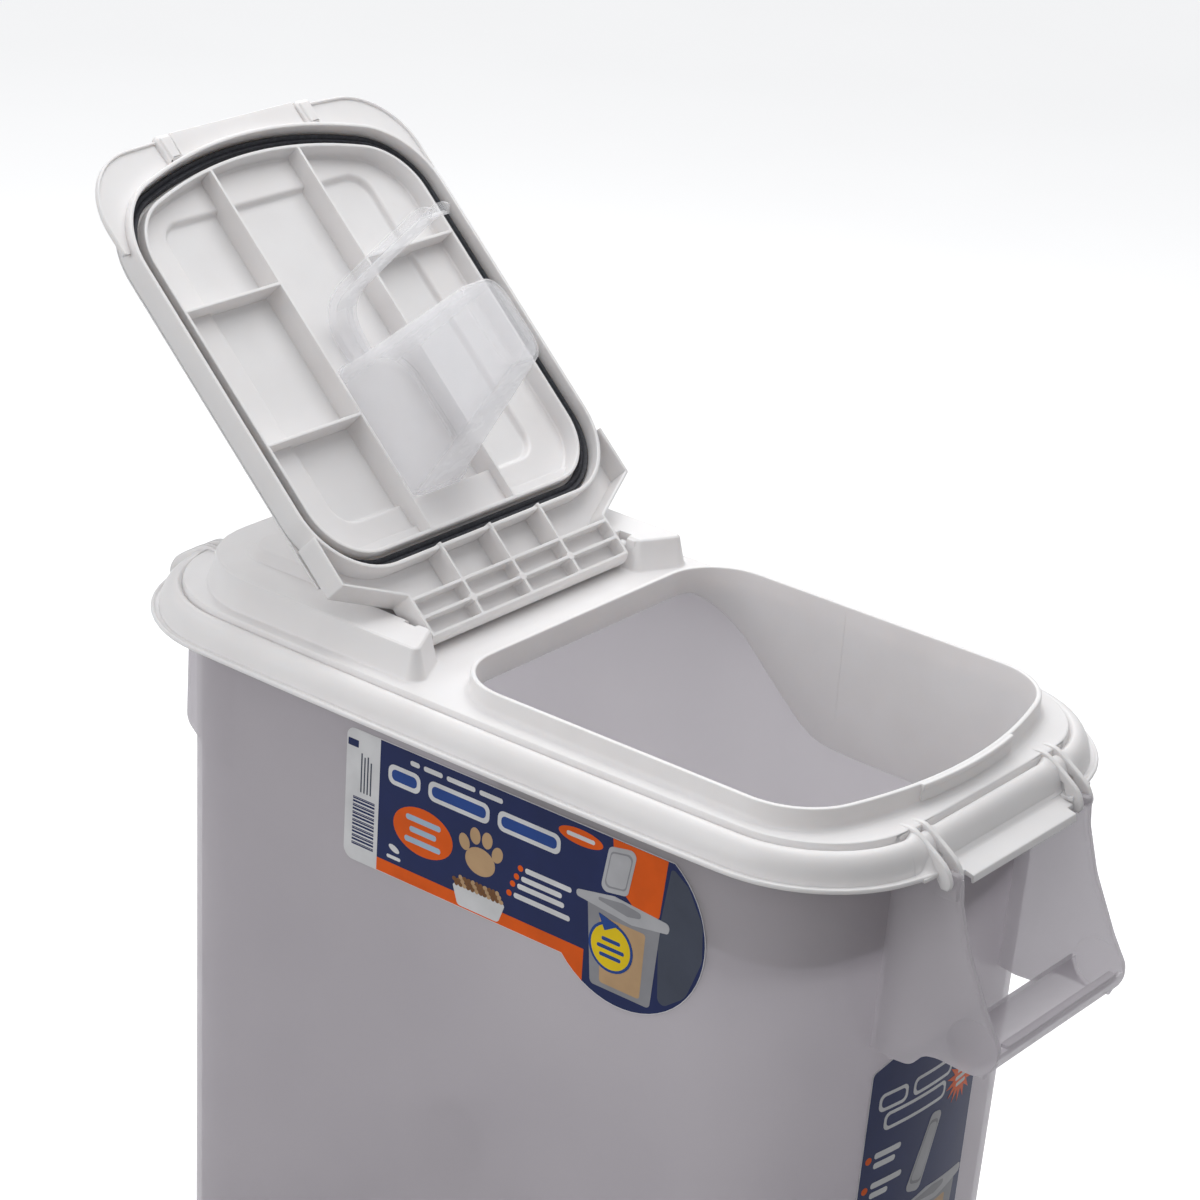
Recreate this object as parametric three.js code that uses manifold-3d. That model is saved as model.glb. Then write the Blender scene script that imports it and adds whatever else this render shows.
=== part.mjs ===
// Wheeled pet food bin: a tapered tub, a white lid frame with a hinged flip door, a scoop stowed in the door,
// and two wheels on an axle. Millimetres, +Z up, front (handle) towards -Y, +X to the right seen from the front.
// The origin is on the flat underside of the tub, at the middle of its plan.
import * as THREE from "three";
import { mergeVertices } from "three/addons/utils/BufferGeometryUtils.js";
import Module from "manifold-3d";

const wasm = await Module();
wasm.setup();

// ---- driving dimensions ----
const BRIM_Z = 472.5; // underside of the lid's brim above the floor
const OPEN_DEG = 136.9; // how far the door stands open at rest
const CURVE_STEPS = 4; // segments of a drawn curve; an arc gets twice as many

// Outlines seen from above: half width, front and rear ends, front and rear corner radii, bulge of the front edge.
const BRIM = { half: 156, front: -276.4, rear: 276.4, rf: 83, rr: 87, bow: 10.2 };
const RIM = { half: 156, front: -276.4, rear: 276.4, rf: 83, rr: 87, bow: 0 };
const COLLAR = { half: 122.2, front: -232, rear: 22.2, rf: 44, rr: 37, bow: 12.6 };
const TUB = { half: 138.4, front: -243, rear: 239.3, rf: 66, rr: 66, bow: 11 };
const PLATEAU = { half: 92, front: 116, rear: 205, rf: 6, rr: 16, bow: 0 };

const LID_WALL = 2.5;
const LIP_T = 2;
const ROLL = { inset: 17.5, reach: 12.5, top: 14, height: 13 };
const DECK = { inset: 19, top: 21 };
const COLLAR_TOP = 33.4;
const COLLAR_WALL = 3.3;
// The collar goes on down inside the tub as a skirt. It is deep round the front and slants up to the deck at the rear.
const APRON = { drop: -62.5, foot: -57, topY: 22, top: 16 };
const PLATFORM = { half: 124.6, tower: 95, outerY: 43, innerY: 57.5, back: 108, rear: 236, radius: 60, top: 40.5 };
const PLATEAU_TOP = 46;
const SADDLE_X = [60.7, 71]; // the two ribs of each saddle, on both sides
const SADDLE_T = 3.4;
const LEDGE = { half: 49, back: -268, front: -288 };
const CATCH_HALF = 44.5;

const TUB_TAPER = 0.956; // plan size at the floor against the top
const TUB_WALL = 3;
const TUB_TOP = BRIM_Z + 9;
const RIM_FLANGE = { reach: 4.6, thickness: 3 };
const STEP = { y: 158, z: 56 }; // the raised rear bottom that the wheels sit under
const WING = { x: 62.8, thickness: 3.4 };
const GRIP = { y: -307.3, z: -94, radius: 16.5, wall: 3, openFrom: 4, openTo: 170 };
const REAR_WING_Y = 278;

const AXLE = { y: 188, z: 26, radius: 3, half: 118 };
const WHEEL = { radius: 26, width: 18, x: 104, bore: 3.4 };
const LUG = { x: 86, thickness: 8, drop: 14 };

const HINGE = { y: 71.3, z: 32.4, pin: 4, pinEnd: 99.5, barrel: 10.2 };
const PLUG_RIM = 30.9;
const PLUG_WALL = 2.5;
const PLUG_GAP = 3; // between the door's plug wall and the inside of the collar
const SKIRT = { inner: 6.6, wall: 2.7, rim: 26.3, rr: 47 };
const DOOR_HALF = 131.5;
const PLATE = { ledge: 42.9, border: 45.4, tray: 45.9, top: 48.4, hingeTop: 42.2 };
const TRAY = { half: 89, front: -215, rear: -6.5, rf: 15, rr: 15, bow: 0 };
const FLANGE = { half: 136, front: -263, rf: 46, inner: 31.9, thickness: 2.2, from: -200 };
const GASKET = { z0: 33.8, z1: 39, gap: 0.4 };
const LONG_RIB_X = 38;
const RIB_T = 2.2;
const CROSS_RIBS = [
  { from: -117, to: -LONG_RIB_X, y: -156 },
  { from: -117, to: -LONG_RIB_X, y: -63.5 },
  { from: LONG_RIB_X, to: 117, y: -156 },
];
const BOX = { half: 90, wall: 2, rim: 24.9, rows: [53.7, 66], columns: [-45, 0, 45], chamferY: 31, boxY: 51.2 };

const SCOOP = { mouth: 44, cap: -67, halfX: 33, capX: 18.5, y0: -98, y1: -8, capY0: -86, capY1: -30, wall: 1.8 };
const HANDLE = { width: 17, outer: -136, depth: 9, top: -71, root: -98, rib: 2.4 };

// ---- geometry helpers ----
function solid(geometry) {
  const bare = geometry.clone();
  bare.deleteAttribute("normal");
  bare.deleteAttribute("uv");
  const merged = mergeVertices(bare, 1e-4);
  return new wasm.Manifold(
    new wasm.Mesh({
      numProp: 3,
      vertProperties: new Float32Array(merged.attributes.position.array),
      triVerts: new Uint32Array(merged.index.array),
    }),
  );
}

function geometryOf(body) {
  const mesh = body.getMesh();
  const points = new Float32Array(mesh.numVert * 3);
  for (let i = 0; i < mesh.numVert; i++) {
    points.set(mesh.vertProperties.subarray(i * mesh.numProp, i * mesh.numProp + 3), i * 3);
  }
  const geometry = new THREE.BufferGeometry();
  geometry.setAttribute("position", new THREE.BufferAttribute(points, 3));
  geometry.setIndex(new THREE.BufferAttribute(new Uint32Array(mesh.triVerts), 1));
  geometry.computeVertexNormals();
  return geometry;
}

const join = (...bodies) => bodies.reduce((all, one) => all.add(one));
const cut = (body, ...tools) => tools.reduce((left, tool) => left.subtract(tool), body);

// The same outline moved in by a distance all round, or out where it is negative.
const inset = (o, by) => ({
  half: o.half - by,
  front: o.front + by,
  rear: o.rear - by,
  rf: Math.max(o.rf - by, 0.5),
  rr: Math.max(o.rr - by, 0.5),
  bow: o.bow,
});

function outline(o) {
  const shape = new THREE.Shape();
  shape.moveTo(o.half, o.front + o.rf);
  shape.absarc(o.half - o.rr, o.rear - o.rr, o.rr, 0, Math.PI / 2, false);
  shape.absarc(-o.half + o.rr, o.rear - o.rr, o.rr, Math.PI / 2, Math.PI, false);
  shape.absarc(-o.half + o.rf, o.front + o.rf, o.rf, Math.PI, 1.5 * Math.PI, false);
  shape.quadraticCurveTo(0, o.front - 2 * o.bow, o.half - o.rf, o.front);
  shape.absarc(o.half - o.rf, o.front + o.rf, o.rf, -Math.PI / 2, 0, false);
  return shape;
}

const polygon = (points) => new THREE.Shape(points.map(([x, y]) => new THREE.Vector2(x, y)));

function prism(shape, z0, z1) {
  const options = { depth: z1 - z0, bevelEnabled: false, curveSegments: CURVE_STEPS };
  return solid(new THREE.ExtrudeGeometry(shape, options).translate(0, 0, z0));
}

// A prism whose top edge is rounded over; its side wall lies `reach` outside the shape.
function rounded(shape, z0, z1, reach, height) {
  const geometry = new THREE.ExtrudeGeometry(shape, {
    depth: 2 * (z1 - height - z0),
    bevelThickness: height,
    bevelSize: reach,
    bevelSegments: 3,
    curveSegments: CURVE_STEPS,
  });
  const whole = solid(geometry.translate(0, 0, 2 * z0 + height - z1));
  return whole.intersect(box([-400, 400], [-400, 400], [z0, z1 + 1]));
}

function box([x0, x1], [y0, y1], [z0, z1]) {
  const geometry = new THREE.BoxGeometry(x1 - x0, y1 - y0, z1 - z0);
  return solid(geometry.translate((x0 + x1) / 2, (y0 + y1) / 2, (z0 + z1) / 2));
}

// A plate drawn in the YZ plane and given its thickness along X.
function plateYZ(shape, x0, x1) {
  const turn = new THREE.Matrix4().makeBasis(
    new THREE.Vector3(0, 1, 0),
    new THREE.Vector3(0, 0, 1),
    new THREE.Vector3(1, 0, 0),
  );
  const options = { depth: x1 - x0, bevelEnabled: false, curveSegments: CURVE_STEPS };
  const geometry = new THREE.ExtrudeGeometry(shape, options).applyMatrix4(turn);
  return solid(geometry.translate(x0, 0, 0));
}

function barX(radius, x0, x1, y, z, sides = 20) {
  const geometry = new THREE.CylinderGeometry(radius, radius, x1 - x0, sides).rotateZ(Math.PI / 2);
  return solid(geometry.translate((x0 + x1) / 2, y, z));
}

// Moves every vertex of a geometry by a function of its place.
function reshape(geometry, move) {
  const place = geometry.attributes.position;
  const v = new THREE.Vector3();
  for (let i = 0; i < place.count; i++) {
    v.fromBufferAttribute(place, i);
    move(v);
    place.setXYZ(i, v.x, v.y, v.z);
  }
  return geometry;
}

// Heights of the lid and of what hangs from it are given from the underside of the brim.
const z = (rel) => BRIM_Z + rel;
const mirrored = (body) => body.add(body.mirror([1, 0, 0]));
const lerp = THREE.MathUtils.lerp;

// ---- tub ----
function taperedPrism(o, z0, z1) {
  const options = { depth: z1 - z0, bevelEnabled: false, curveSegments: CURVE_STEPS };
  const geometry = new THREE.ExtrudeGeometry(outline(o), options).translate(0, 0, z0);
  return solid(
    reshape(geometry, (v) => {
      const scale = lerp(TUB_TAPER, 1, v.z / BRIM_Z);
      v.x *= scale;
      v.y *= scale;
    }),
  );
}

function frontWing() {
  const shape = new THREE.Shape();
  shape.moveTo(-236, z(-1));
  shape.lineTo(-288, z(-1));
  shape.quadraticCurveTo(-290, z(-30), -306, z(-59));
  shape.lineTo(-321, z(-86));
  shape.absarc(GRIP.y, z(GRIP.z), GRIP.radius, Math.PI * 0.88, Math.PI * 1.6, false);
  shape.lineTo(-286, z(-110));
  shape.quadraticCurveTo(-277, z(-111), -272, z(-117));
  shape.quadraticCurveTo(-266, z(-122), -256, z(-121));
  shape.lineTo(-234, z(-112));
  return plateYZ(shape, WING.x, WING.x + WING.thickness);
}

function grip() {
  const centre = BRIM_Z + GRIP.z;
  const end = WING.x + 1;
  const tube = cut(
    barX(GRIP.radius, -end, end, GRIP.y, centre, 32),
    barX(GRIP.radius - GRIP.wall, -end - 1, end + 1, GRIP.y, centre, 32),
  );
  const reach = GRIP.radius * 2;
  const ray = (deg) => [
    GRIP.y + reach * Math.cos(THREE.MathUtils.degToRad(deg)),
    centre + reach * Math.sin(THREE.MathUtils.degToRad(deg)),
  ];
  const middle = (GRIP.openFrom + GRIP.openTo) / 2;
  const mouth = polygon([[GRIP.y, centre], ray(GRIP.openFrom), ray(middle), ray(GRIP.openTo)]);
  return cut(tube, plateYZ(mouth, -end - 1, end + 1));
}

function rearWing() {
  const shape = polygon([
    [234, z(-1)],
    [234, z(-124)],
    [258, z(-122)],
    [REAR_WING_Y, z(-104)],
    [REAR_WING_Y, z(-1)],
  ]);
  return plateYZ(shape, WING.x, WING.x + WING.thickness);
}

function tub() {
  const outer = join(
    taperedPrism(TUB, 0, TUB_TOP),
    prism(outline(inset(TUB, -RIM_FLANGE.reach)), TUB_TOP - RIM_FLANGE.thickness, TUB_TOP),
  );
  const wide = [-200, 200];
  const step = box(wide, [STEP.y, 300], [-1, STEP.z]);
  const stepInside = box(wide, [STEP.y - TUB_WALL, 300], [-1, STEP.z + TUB_WALL]);
  const inside = cut(taperedPrism(inset(TUB, TUB_WALL), TUB_WALL, TUB_TOP + 1), stepInside);
  const lug = box([LUG.x, LUG.x + LUG.thickness], [AXLE.y - LUG.drop, AXLE.y + LUG.drop], [AXLE.z - 9, STEP.z + 1]);
  const bore = barX(AXLE.radius + 0.3, -200, 200, AXLE.y, AXLE.z, 24);
  const shell = cut(outer, step, inside);
  return cut(join(shell, mirrored(join(lug, frontWing(), rearWing())), grip()), bore, inside);
}

// ---- lid frame ----
function platformShape(by = 0) {
  const p = PLATFORM;
  const half = p.half - by;
  const tower = p.tower + by;
  const r = p.radius - by;
  const rear = p.rear - by;
  const shape = new THREE.Shape();
  shape.moveTo(half, p.outerY + by);
  shape.absarc(half - r, rear - r, r, 0, Math.PI / 2, false);
  shape.absarc(-half + r, rear - r, r, Math.PI / 2, Math.PI, false);
  shape.lineTo(-half, p.outerY + by);
  shape.lineTo(-tower, p.innerY + by);
  shape.lineTo(-tower, p.back + by);
  shape.lineTo(tower, p.back + by);
  shape.lineTo(tower, p.innerY + by);
  return shape;
}

// One rib of a saddle: it starts on the deck and ends in a rounded nose outside the brim.
function saddleRib(x, top, nose) {
  const side = Math.sign(nose);
  const shape = new THREE.Shape();
  shape.moveTo(top - side * 10, z(DECK.top - 1));
  shape.lineTo(top, z(DECK.top - 0.5));
  shape.lineTo(nose - side * 2.5, z(4.5));
  shape.quadraticCurveTo(nose, z(2), nose, z(-2));
  shape.quadraticCurveTo(nose - side * 1, z(-6), nose - side * 5, z(-6.5));
  shape.lineTo(nose - side * 12, z(1));
  shape.lineTo(nose - side * 14, z(6));
  return plateYZ(shape, x - SADDLE_T / 2, x + SADDLE_T / 2);
}

function ledge() {
  const shape = polygon([
    [LEDGE.back, z(3)],
    [LEDGE.back - 3.5, z(0.4)],
    [LEDGE.front, z(-3.6)],
    [LEDGE.front, z(-6)],
    [LEDGE.back, z(-2)],
  ]);
  return plateYZ(shape, -LEDGE.half, LEDGE.half);
}

function apron() {
  const a = APRON;
  const ring = cut(
    prism(outline(inset(COLLAR, -COLLAR_WALL)), z(a.drop), z(DECK.top)),
    prism(outline(COLLAR), z(a.drop - 1), z(DECK.top + 1)),
  );
  const behind = polygon([
    [a.foot, z(a.drop - 1)],
    [a.topY, z(a.top)],
    [a.topY + 20, z(a.top)],
    [a.topY + 20, z(a.drop - 1)],
  ]);
  return cut(ring, plateYZ(behind, -200, 200));
}

// The slots, open at the top, that the door's pins turn in.
function hingeSlot() {
  const slot = box([PLATFORM.tower - 1, HINGE.pinEnd + 1], [HINGE.y - HINGE.pin - 0.4, HINGE.y + HINGE.pin + 0.4], [
    BRIM_Z + HINGE.z,
    BRIM_Z + 60,
  ]);
  const seat = barX(HINGE.pin + 0.4, PLATFORM.tower - 1, HINGE.pinEnd + 1, HINGE.y, BRIM_Z + HINGE.z, 24);
  return join(slot, seat);
}

function lidFrame() {
  const roll = outline(inset(RIM, ROLL.inset));
  const rollInside = outline(inset(RIM, ROLL.inset + LID_WALL));
  const deck = inset(RIM, DECK.inset);
  const collarOuter = inset(COLLAR, -COLLAR_WALL);
  const outside = join(
    prism(outline(BRIM), z(0), z(LIP_T)),
    rounded(roll, z(0), z(ROLL.top), ROLL.reach, ROLL.height),
    rounded(outline(inset(deck, 2)), z(5), z(DECK.top), 2, 2),
    prism(outline(collarOuter), z(5), z(COLLAR_TOP)),
    rounded(platformShape(1.5), z(5), z(PLATFORM.top), 1.5, 1.5),
    rounded(outline(inset(PLATEAU, 3)), z(30), z(PLATEAU_TOP), 3, 3),
  );
  const inside = join(
    rounded(rollInside, z(-1), z(ROLL.top - LID_WALL), ROLL.reach, ROLL.height - LID_WALL),
    prism(outline(inset(deck, LID_WALL)), z(4), z(DECK.top - LID_WALL)),
    prism(platformShape(LID_WALL), z(4), z(PLATFORM.top - LID_WALL)),
    prism(outline(inset(PLATEAU, 3.5)), z(29), z(PLATEAU_TOP - LID_WALL)),
  );
  const opening = prism(outline(COLLAR), z(-5), z(COLLAR_TOP + 5));
  const gap = box([-57.5, 57.5], [-300, RIM.front + 5], [z(-10), z(LIP_T)]);
  const ribs = SADDLE_X.flatMap((x) => [saddleRib(x, -254, -286.5), saddleRib(x, 260, 284)]);
  const slotBlock = box([PLATFORM.tower + 0.5, 106], [HINGE.y - 11, HINGE.y + 11], [z(DECK.top - 1), z(PLATFORM.top - 1)]);
  const catchRib = cut(
    box([-CATCH_HALF, CATCH_HALF], [-252, -225], [z(DECK.top - 1), z(COLLAR_TOP - 5)]),
    prism(outline(inset(COLLAR, -1)), z(0), z(60)),
  ).intersect(prism(outline(inset(collarOuter, -2)), z(0), z(60)));
  const shell = cut(join(cut(outside, inside), catchRib), opening, gap);
  const body = join(shell, ledge(), apron(), mirrored(join(slotBlock, ...ribs)));
  return cut(body, mirrored(hingeSlot()), opening);
}

// ---- flip door, drawn shut ----
const PLUG = inset(COLLAR, PLUG_GAP);
const PLUG_INSIDE = inset(PLUG, PLUG_WALL);
const SKIRT_INSIDE = { ...inset(COLLAR, -SKIRT.inner), rr: SKIRT.rr };

// Everything that the door covers: the skirt's outline, its straight sides and its chamfers down to the hinge box.
function doorShape(half, chamferY, boxHalf, boxY, rear) {
  const o = inset(COLLAR, -SKIRT.inner - SKIRT.wall);
  const shape = new THREE.Shape();
  shape.moveTo(half, o.front + o.rf);
  shape.lineTo(half, chamferY);
  shape.lineTo(boxHalf, boxY);
  shape.lineTo(boxHalf, rear);
  shape.lineTo(-boxHalf, rear);
  shape.lineTo(-boxHalf, boxY);
  shape.lineTo(-half, chamferY);
  shape.absarc(-half + o.rf, o.front + o.rf, o.rf, Math.PI, 1.5 * Math.PI, false);
  shape.quadraticCurveTo(0, o.front - 2 * o.bow, half - o.rf, o.front);
  shape.absarc(half - o.rf, o.front + o.rf, o.rf, -Math.PI / 2, 0, false);
  return shape;
}

function doorPlate() {
  const whole = doorShape(DOOR_HALF - 3, BOX.chamferY - 2, BOX.half - 3, BOX.boxY - 2, BOX.boxY);
  const border = rounded(whole, z(PLATE.ledge), z(PLATE.border), 3, 2.4);
  const raised = rounded(outline(inset(TRAY, -0.5)), z(PLATE.ledge), z(PLATE.top), 3, 3);
  const front = box([-200, 200], [-300, 24], [z(0), z(60)]);
  const hingePart = prism(
    doorShape(DOOR_HALF, BOX.chamferY, BOX.half, BOX.boxY, HINGE.y),
    z(PLATE.hingeTop - 2.2),
    z(PLATE.hingeTop),
  ).intersect(box([-200, 200], [10, HINGE.y], [z(0), z(60)]));
  const bridge = box([-118, 118], [16, 30], [z(PLATE.hingeTop - 2.2), z(PLATE.ledge + 1)]);
  const tray = prism(outline(TRAY), z(PLATE.ledge - 1), z(PLATE.tray));
  return cut(join(join(border, raised).intersect(front), hingePart, bridge), tray);
}

function doorWalls() {
  const plug = cut(
    prism(outline(PLUG), z(PLUG_RIM), z(PLATE.ledge + 1)),
    prism(outline(PLUG_INSIDE), z(PLUG_RIM - 1), z(PLATE.ledge + 2)),
  );
  const skirtOutline = inset(SKIRT_INSIDE, -SKIRT.wall);
  const skirt = cut(
    prism(outline(skirtOutline), z(SKIRT.rim), z(PLATE.hingeTop)),
    prism(outline(SKIRT_INSIDE), z(SKIRT.rim - 1), z(60)),
  );
  const seat = cut(
    prism(outline(inset(SKIRT_INSIDE, -1)), z(GASKET.z1 + 0.3), z(PLATE.ledge + 1)),
    prism(outline(inset(PLUG, 1)), z(20), z(60)),
  );
  const sides = cut(
    prism(doorShape(DOOR_HALF, BOX.chamferY, BOX.half, BOX.boxY, HINGE.y), z(BOX.rim), z(PLATE.hingeTop)),
    prism(doorShape(DOOR_HALF - 2.8, BOX.chamferY - 1.5, BOX.half - BOX.wall, BOX.boxY - 1.5, HINGE.y + 9), z(0), z(60)),
  ).intersect(box([-200, 200], [-120, HINGE.y], [z(0), z(60)]));
  return join(plug, skirt, seat, sides);
}

// The cover past the skirt at the tip, with two humps over the lid's front saddles and a finger lift between them.
function doorFlange() {
  const f = FLANGE;
  const skirt = inset(SKIRT_INSIDE, -SKIRT.wall + 0.7);
  const wide = prism(outline({ ...f, rear: 20, rr: 5, bow: 2 }), z(f.inner), z(f.inner + f.thickness));
  const band = wide.intersect(box([-200, 200], [-300, f.from], [z(0), z(60)]));
  const lift = box([-54, 54], [-267, -250], [z(f.inner - 2), z(f.inner + f.thickness)]);
  const hump = box([55, 65], [-266.5, -248], [z(f.inner - 4), z(f.inner + f.thickness)]);
  return cut(join(band, lift, mirrored(hump)), prism(outline(skirt), z(0), z(60)));
}

function doorRibs() {
  const floor = z(PLATE.tray + 1);
  const long = box([LONG_RIB_X - RIB_T / 2, LONG_RIB_X + RIB_T / 2], [-240, 20], [z(PLUG_RIM), floor]);
  const cross = CROSS_RIBS.map((r) => box([r.from, r.to], [r.y - RIB_T / 2, r.y + RIB_T / 2], [z(PLUG_RIM), floor]));
  const block = box([-LONG_RIB_X, LONG_RIB_X], [-5, 18], [z(PLATE.ledge - 6), floor]);
  return join(mirrored(long), ...cross, block).intersect(prism(outline(inset(PLUG_INSIDE, -1)), z(0), z(60)));
}

// The open-celled box behind the skirt that ends in a barrel round the hinge axis.
function hingeBox() {
  const top = z(PLATE.hingeTop);
  const axis = z(HINGE.z);
  const row = (y) => box([-BOX.half, BOX.half], [y - 1, y + 1], [z(BOX.rim), top]);
  const column = (x) => box([x - 1, x + 1], [30, HINGE.y], [z(BOX.rim), top]);
  const barrel = barX(HINGE.barrel, -BOX.half, BOX.half, HINGE.y, axis, 32);
  const bay = (x0, x1) => barX(HINGE.barrel - 2.2, x0, x1, HINGE.y, axis, 24);
  const walls = [-BOX.half + 1, ...BOX.columns, BOX.half - 1];
  const bays = walls.slice(1).map((x, i) => bay(walls[i] + 1, x - 1));
  const below = box([-200, 200], [0, 200], [z(0), z(BOX.rim)]);
  const mouths = walls.slice(1).map((x, i) =>
    box([walls[i] + 1, x - 1], [HINGE.y - 7.8, HINGE.y + 8], [z(0), axis]),
  );
  const core = cut(barrel, ...bays, ...mouths, below);
  return join(core, ...BOX.rows.map(row), ...BOX.columns.map(column));
}

function flipDoor() {
  const pins = barX(HINGE.pin, -HINGE.pinEnd, HINGE.pinEnd, HINGE.y, z(HINGE.z), 24);
  const between = box([-BOX.half + 1, BOX.half - 1], [0, 100], [z(0), z(60)]);
  return join(doorPlate(), doorWalls(), doorFlange(), doorRibs(), hingeBox(), cut(pins, between));
}

function doorGasket() {
  const g = GASKET;
  return cut(
    prism(outline(inset(SKIRT_INSIDE, g.gap)), z(g.z0), z(g.z1)),
    prism(outline(inset(PLUG, -g.gap)), z(0), z(60)),
  );
}

// ---- scoop, mouth up against the door's floor ----
function cup(by, z0, z1) {
  const s = SCOOP;
  const geometry = new THREE.ExtrudeGeometry(outline({ half: 1, front: -1, rear: 1, rf: 0.55, rr: 0.55, bow: 0 }), {
    depth: 1,
    bevelEnabled: false,
    curveSegments: CURVE_STEPS,
  });
  return solid(
    reshape(geometry, (v) => {
      const height = lerp(z0, z1, v.z);
      const t = (height - s.cap) / (s.mouth - s.cap);
      const low = lerp(s.capY0, s.y0, t) + by;
      const high = lerp(s.capY1, s.y1, t) - by;
      v.x *= lerp(s.capX, s.halfX, t) - by;
      v.y = lerp(low, high, (v.y + 1) / 2);
      v.z = z(height);
    }),
  );
}

function scoopHandle() {
  const h = HANDLE;
  const inner = h.outer + h.depth;
  const outlineOf = (by) => {
    const shape = new THREE.Shape();
    shape.moveTo(h.root + 3, z(SCOOP.mouth - 1 - by));
    shape.lineTo(h.root - 12, z(SCOOP.mouth - 1 - by));
    shape.quadraticCurveTo(h.outer + by, z(SCOOP.mouth - 3 - by), h.outer + by, z(12));
    shape.lineTo(h.outer + by, z(h.top));
    shape.lineTo(inner, z(h.top));
    shape.lineTo(inner, z(12));
    shape.quadraticCurveTo(inner, z(SCOOP.mouth - 10), h.root + 3, z(SCOOP.mouth - 12));
    return shape;
  };
  const half = h.width / 2;
  const bar = plateYZ(outlineOf(0), -half, half);
  const groove = box([-half + h.rib, half - h.rib], [h.outer - 1, inner - h.rib], [z(h.top - 1), z(14)]);
  return cut(bar, groove);
}

function scoop() {
  const s = SCOOP;
  const outer = cup(0, s.cap, s.mouth);
  const inner = cup(s.wall, s.cap + s.wall, s.mouth + 1);
  return cut(join(outer, scoopHandle()), inner);
}

// ---- wheels, axle, seals and labels ----
function lathedX(profile, x, y, height, steps = 32) {
  const points = profile.map(([radius, along]) => new THREE.Vector2(radius, along));
  const geometry = new THREE.LatheGeometry([...points, points[0]], steps).rotateZ(-Math.PI / 2);
  return solid(geometry.translate(x, y, height));
}

function wheel(side) {
  const w = WHEEL;
  const h = w.width / 2;
  const profile = [
    [w.bore, -h - 1],
    [8, -h - 1],
    [8, -h + 4],
    [18, -h + 4],
    [20, -h],
    [w.radius - 1.5, -h],
    [w.radius, -h + 1.5],
    [w.radius, h - 1.5],
    [w.radius - 1.5, h],
    [20, h],
    [18, h - 4],
    [8, h - 4],
    [8, h + 1],
    [w.bore, h + 1],
  ];
  return lathedX(profile, side * w.x, AXLE.y, AXLE.z);
}

function axleCap(side) {
  const bore = AXLE.radius + 0.3;
  const profile = [
    [bore, 0],
    [7, 0],
    [7, 2],
    [5.5, 5],
    [bore, 5],
  ];
  const body = lathedX(profile, 0, 0, 0, 24);
  const turned = side < 0 ? body.mirror([1, 0, 0]) : body;
  return turned.translate([side * (AXLE.half - 4), AXLE.y, AXLE.z]);
}

function lidGasket() {
  return cut(
    prism(outline(inset(TUB, 1.2)), TUB_TOP + 0.3, TUB_TOP + 1.9),
    prism(outline(inset(TUB, 4)), TUB_TOP, TUB_TOP + 3),
  );
}

const LABEL_T = 0.5;
const LABEL_GAP = 0.35;
const sideWall = (height) => TUB.half * lerp(TUB_TAPER, 1, height / BRIM_Z);
const frontWall = (x, height) => {
  const bulge = TUB.bow * (1 - (x / (TUB.half - TUB.rf)) ** 2);
  return (TUB.front - bulge) * lerp(TUB_TAPER, 1, height / BRIM_Z);
};

const SIDE_LABEL = { rear: 81, bottom: -98, top: -14, bulge: { y: -123, z: -60, radius: 56 } };
const FRONT_LABEL = { left: -61, right: 47, top: -134, bottom: -305, strips: 8 };

function sideLabel() {
  const { rear, bottom, top, bulge } = SIDE_LABEL;
  const arcTo = (height) => Math.asin((height - bulge.z) / bulge.radius);
  const shape = new THREE.Shape();
  shape.moveTo(rear, z(top));
  shape.lineTo(rear, z(bottom));
  shape.absarc(bulge.y, z(bulge.z), bulge.radius, arcTo(bottom), -Math.PI - arcTo(top), true);
  const turn = new THREE.Matrix4().makeBasis(
    new THREE.Vector3(0, 1, 0),
    new THREE.Vector3(0, 0, 1),
    new THREE.Vector3(1, 0, 0),
  );
  const options = { depth: LABEL_T, bevelEnabled: false, curveSegments: CURVE_STEPS };
  const geometry = new THREE.ExtrudeGeometry(shape, options).applyMatrix4(turn);
  return solid(reshape(geometry, (v) => (v.x -= sideWall(v.z) + LABEL_GAP + LABEL_T)));
}

function frontLabel() {
  const { left, right, top, bottom, strips } = FRONT_LABEL;
  const sheet = new THREE.BoxGeometry(right - left, LABEL_T, top - bottom, strips, 1, 1);
  sheet.translate((left + right) / 2, 0, z((top + bottom) / 2));
  return solid(reshape(sheet, (v) => (v.y += frontWall(v.x, v.z) - LABEL_GAP - LABEL_T / 2)));
}

// ---- assembly ----
function material(color, roughness, metalness = 0, opacity = 1) {
  return new THREE.MeshStandardMaterial({ color, roughness, metalness, opacity, transparent: opacity < 1 });
}

const WHITE = material(0xe9e6e3, 0.42);
const CLOUDY = material(0xb9b4bb, 0.38, 0, 0.75);
const CLEAR = material(0xdcdce6, 0.2, 0, 0.5);
const RUBBER = material(0x16181f, 0.6);
const STEEL = material(0xb0b2b5, 0.3, 1);
const BLACK = material(0x1c1c1e, 0.55);
const PRINT = material(0x1c2450, 0.35);

function node(group, name, body, finish) {
  const mesh = new THREE.Mesh(geometryOf(body), finish);
  mesh.name = name;
  group.add(mesh);
}

const bin = new THREE.Group();
const lid = new THREE.Group();
const door = new THREE.Group();
const doorClosed = new THREE.Group();
bin.add(lid);
lid.add(door);
door.add(doorClosed);
door.position.set(0, HINGE.y, z(HINGE.z));
door.rotation.x = THREE.MathUtils.degToRad(-OPEN_DEG);
doorClosed.position.set(0, -HINGE.y, -z(HINGE.z));

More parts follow.
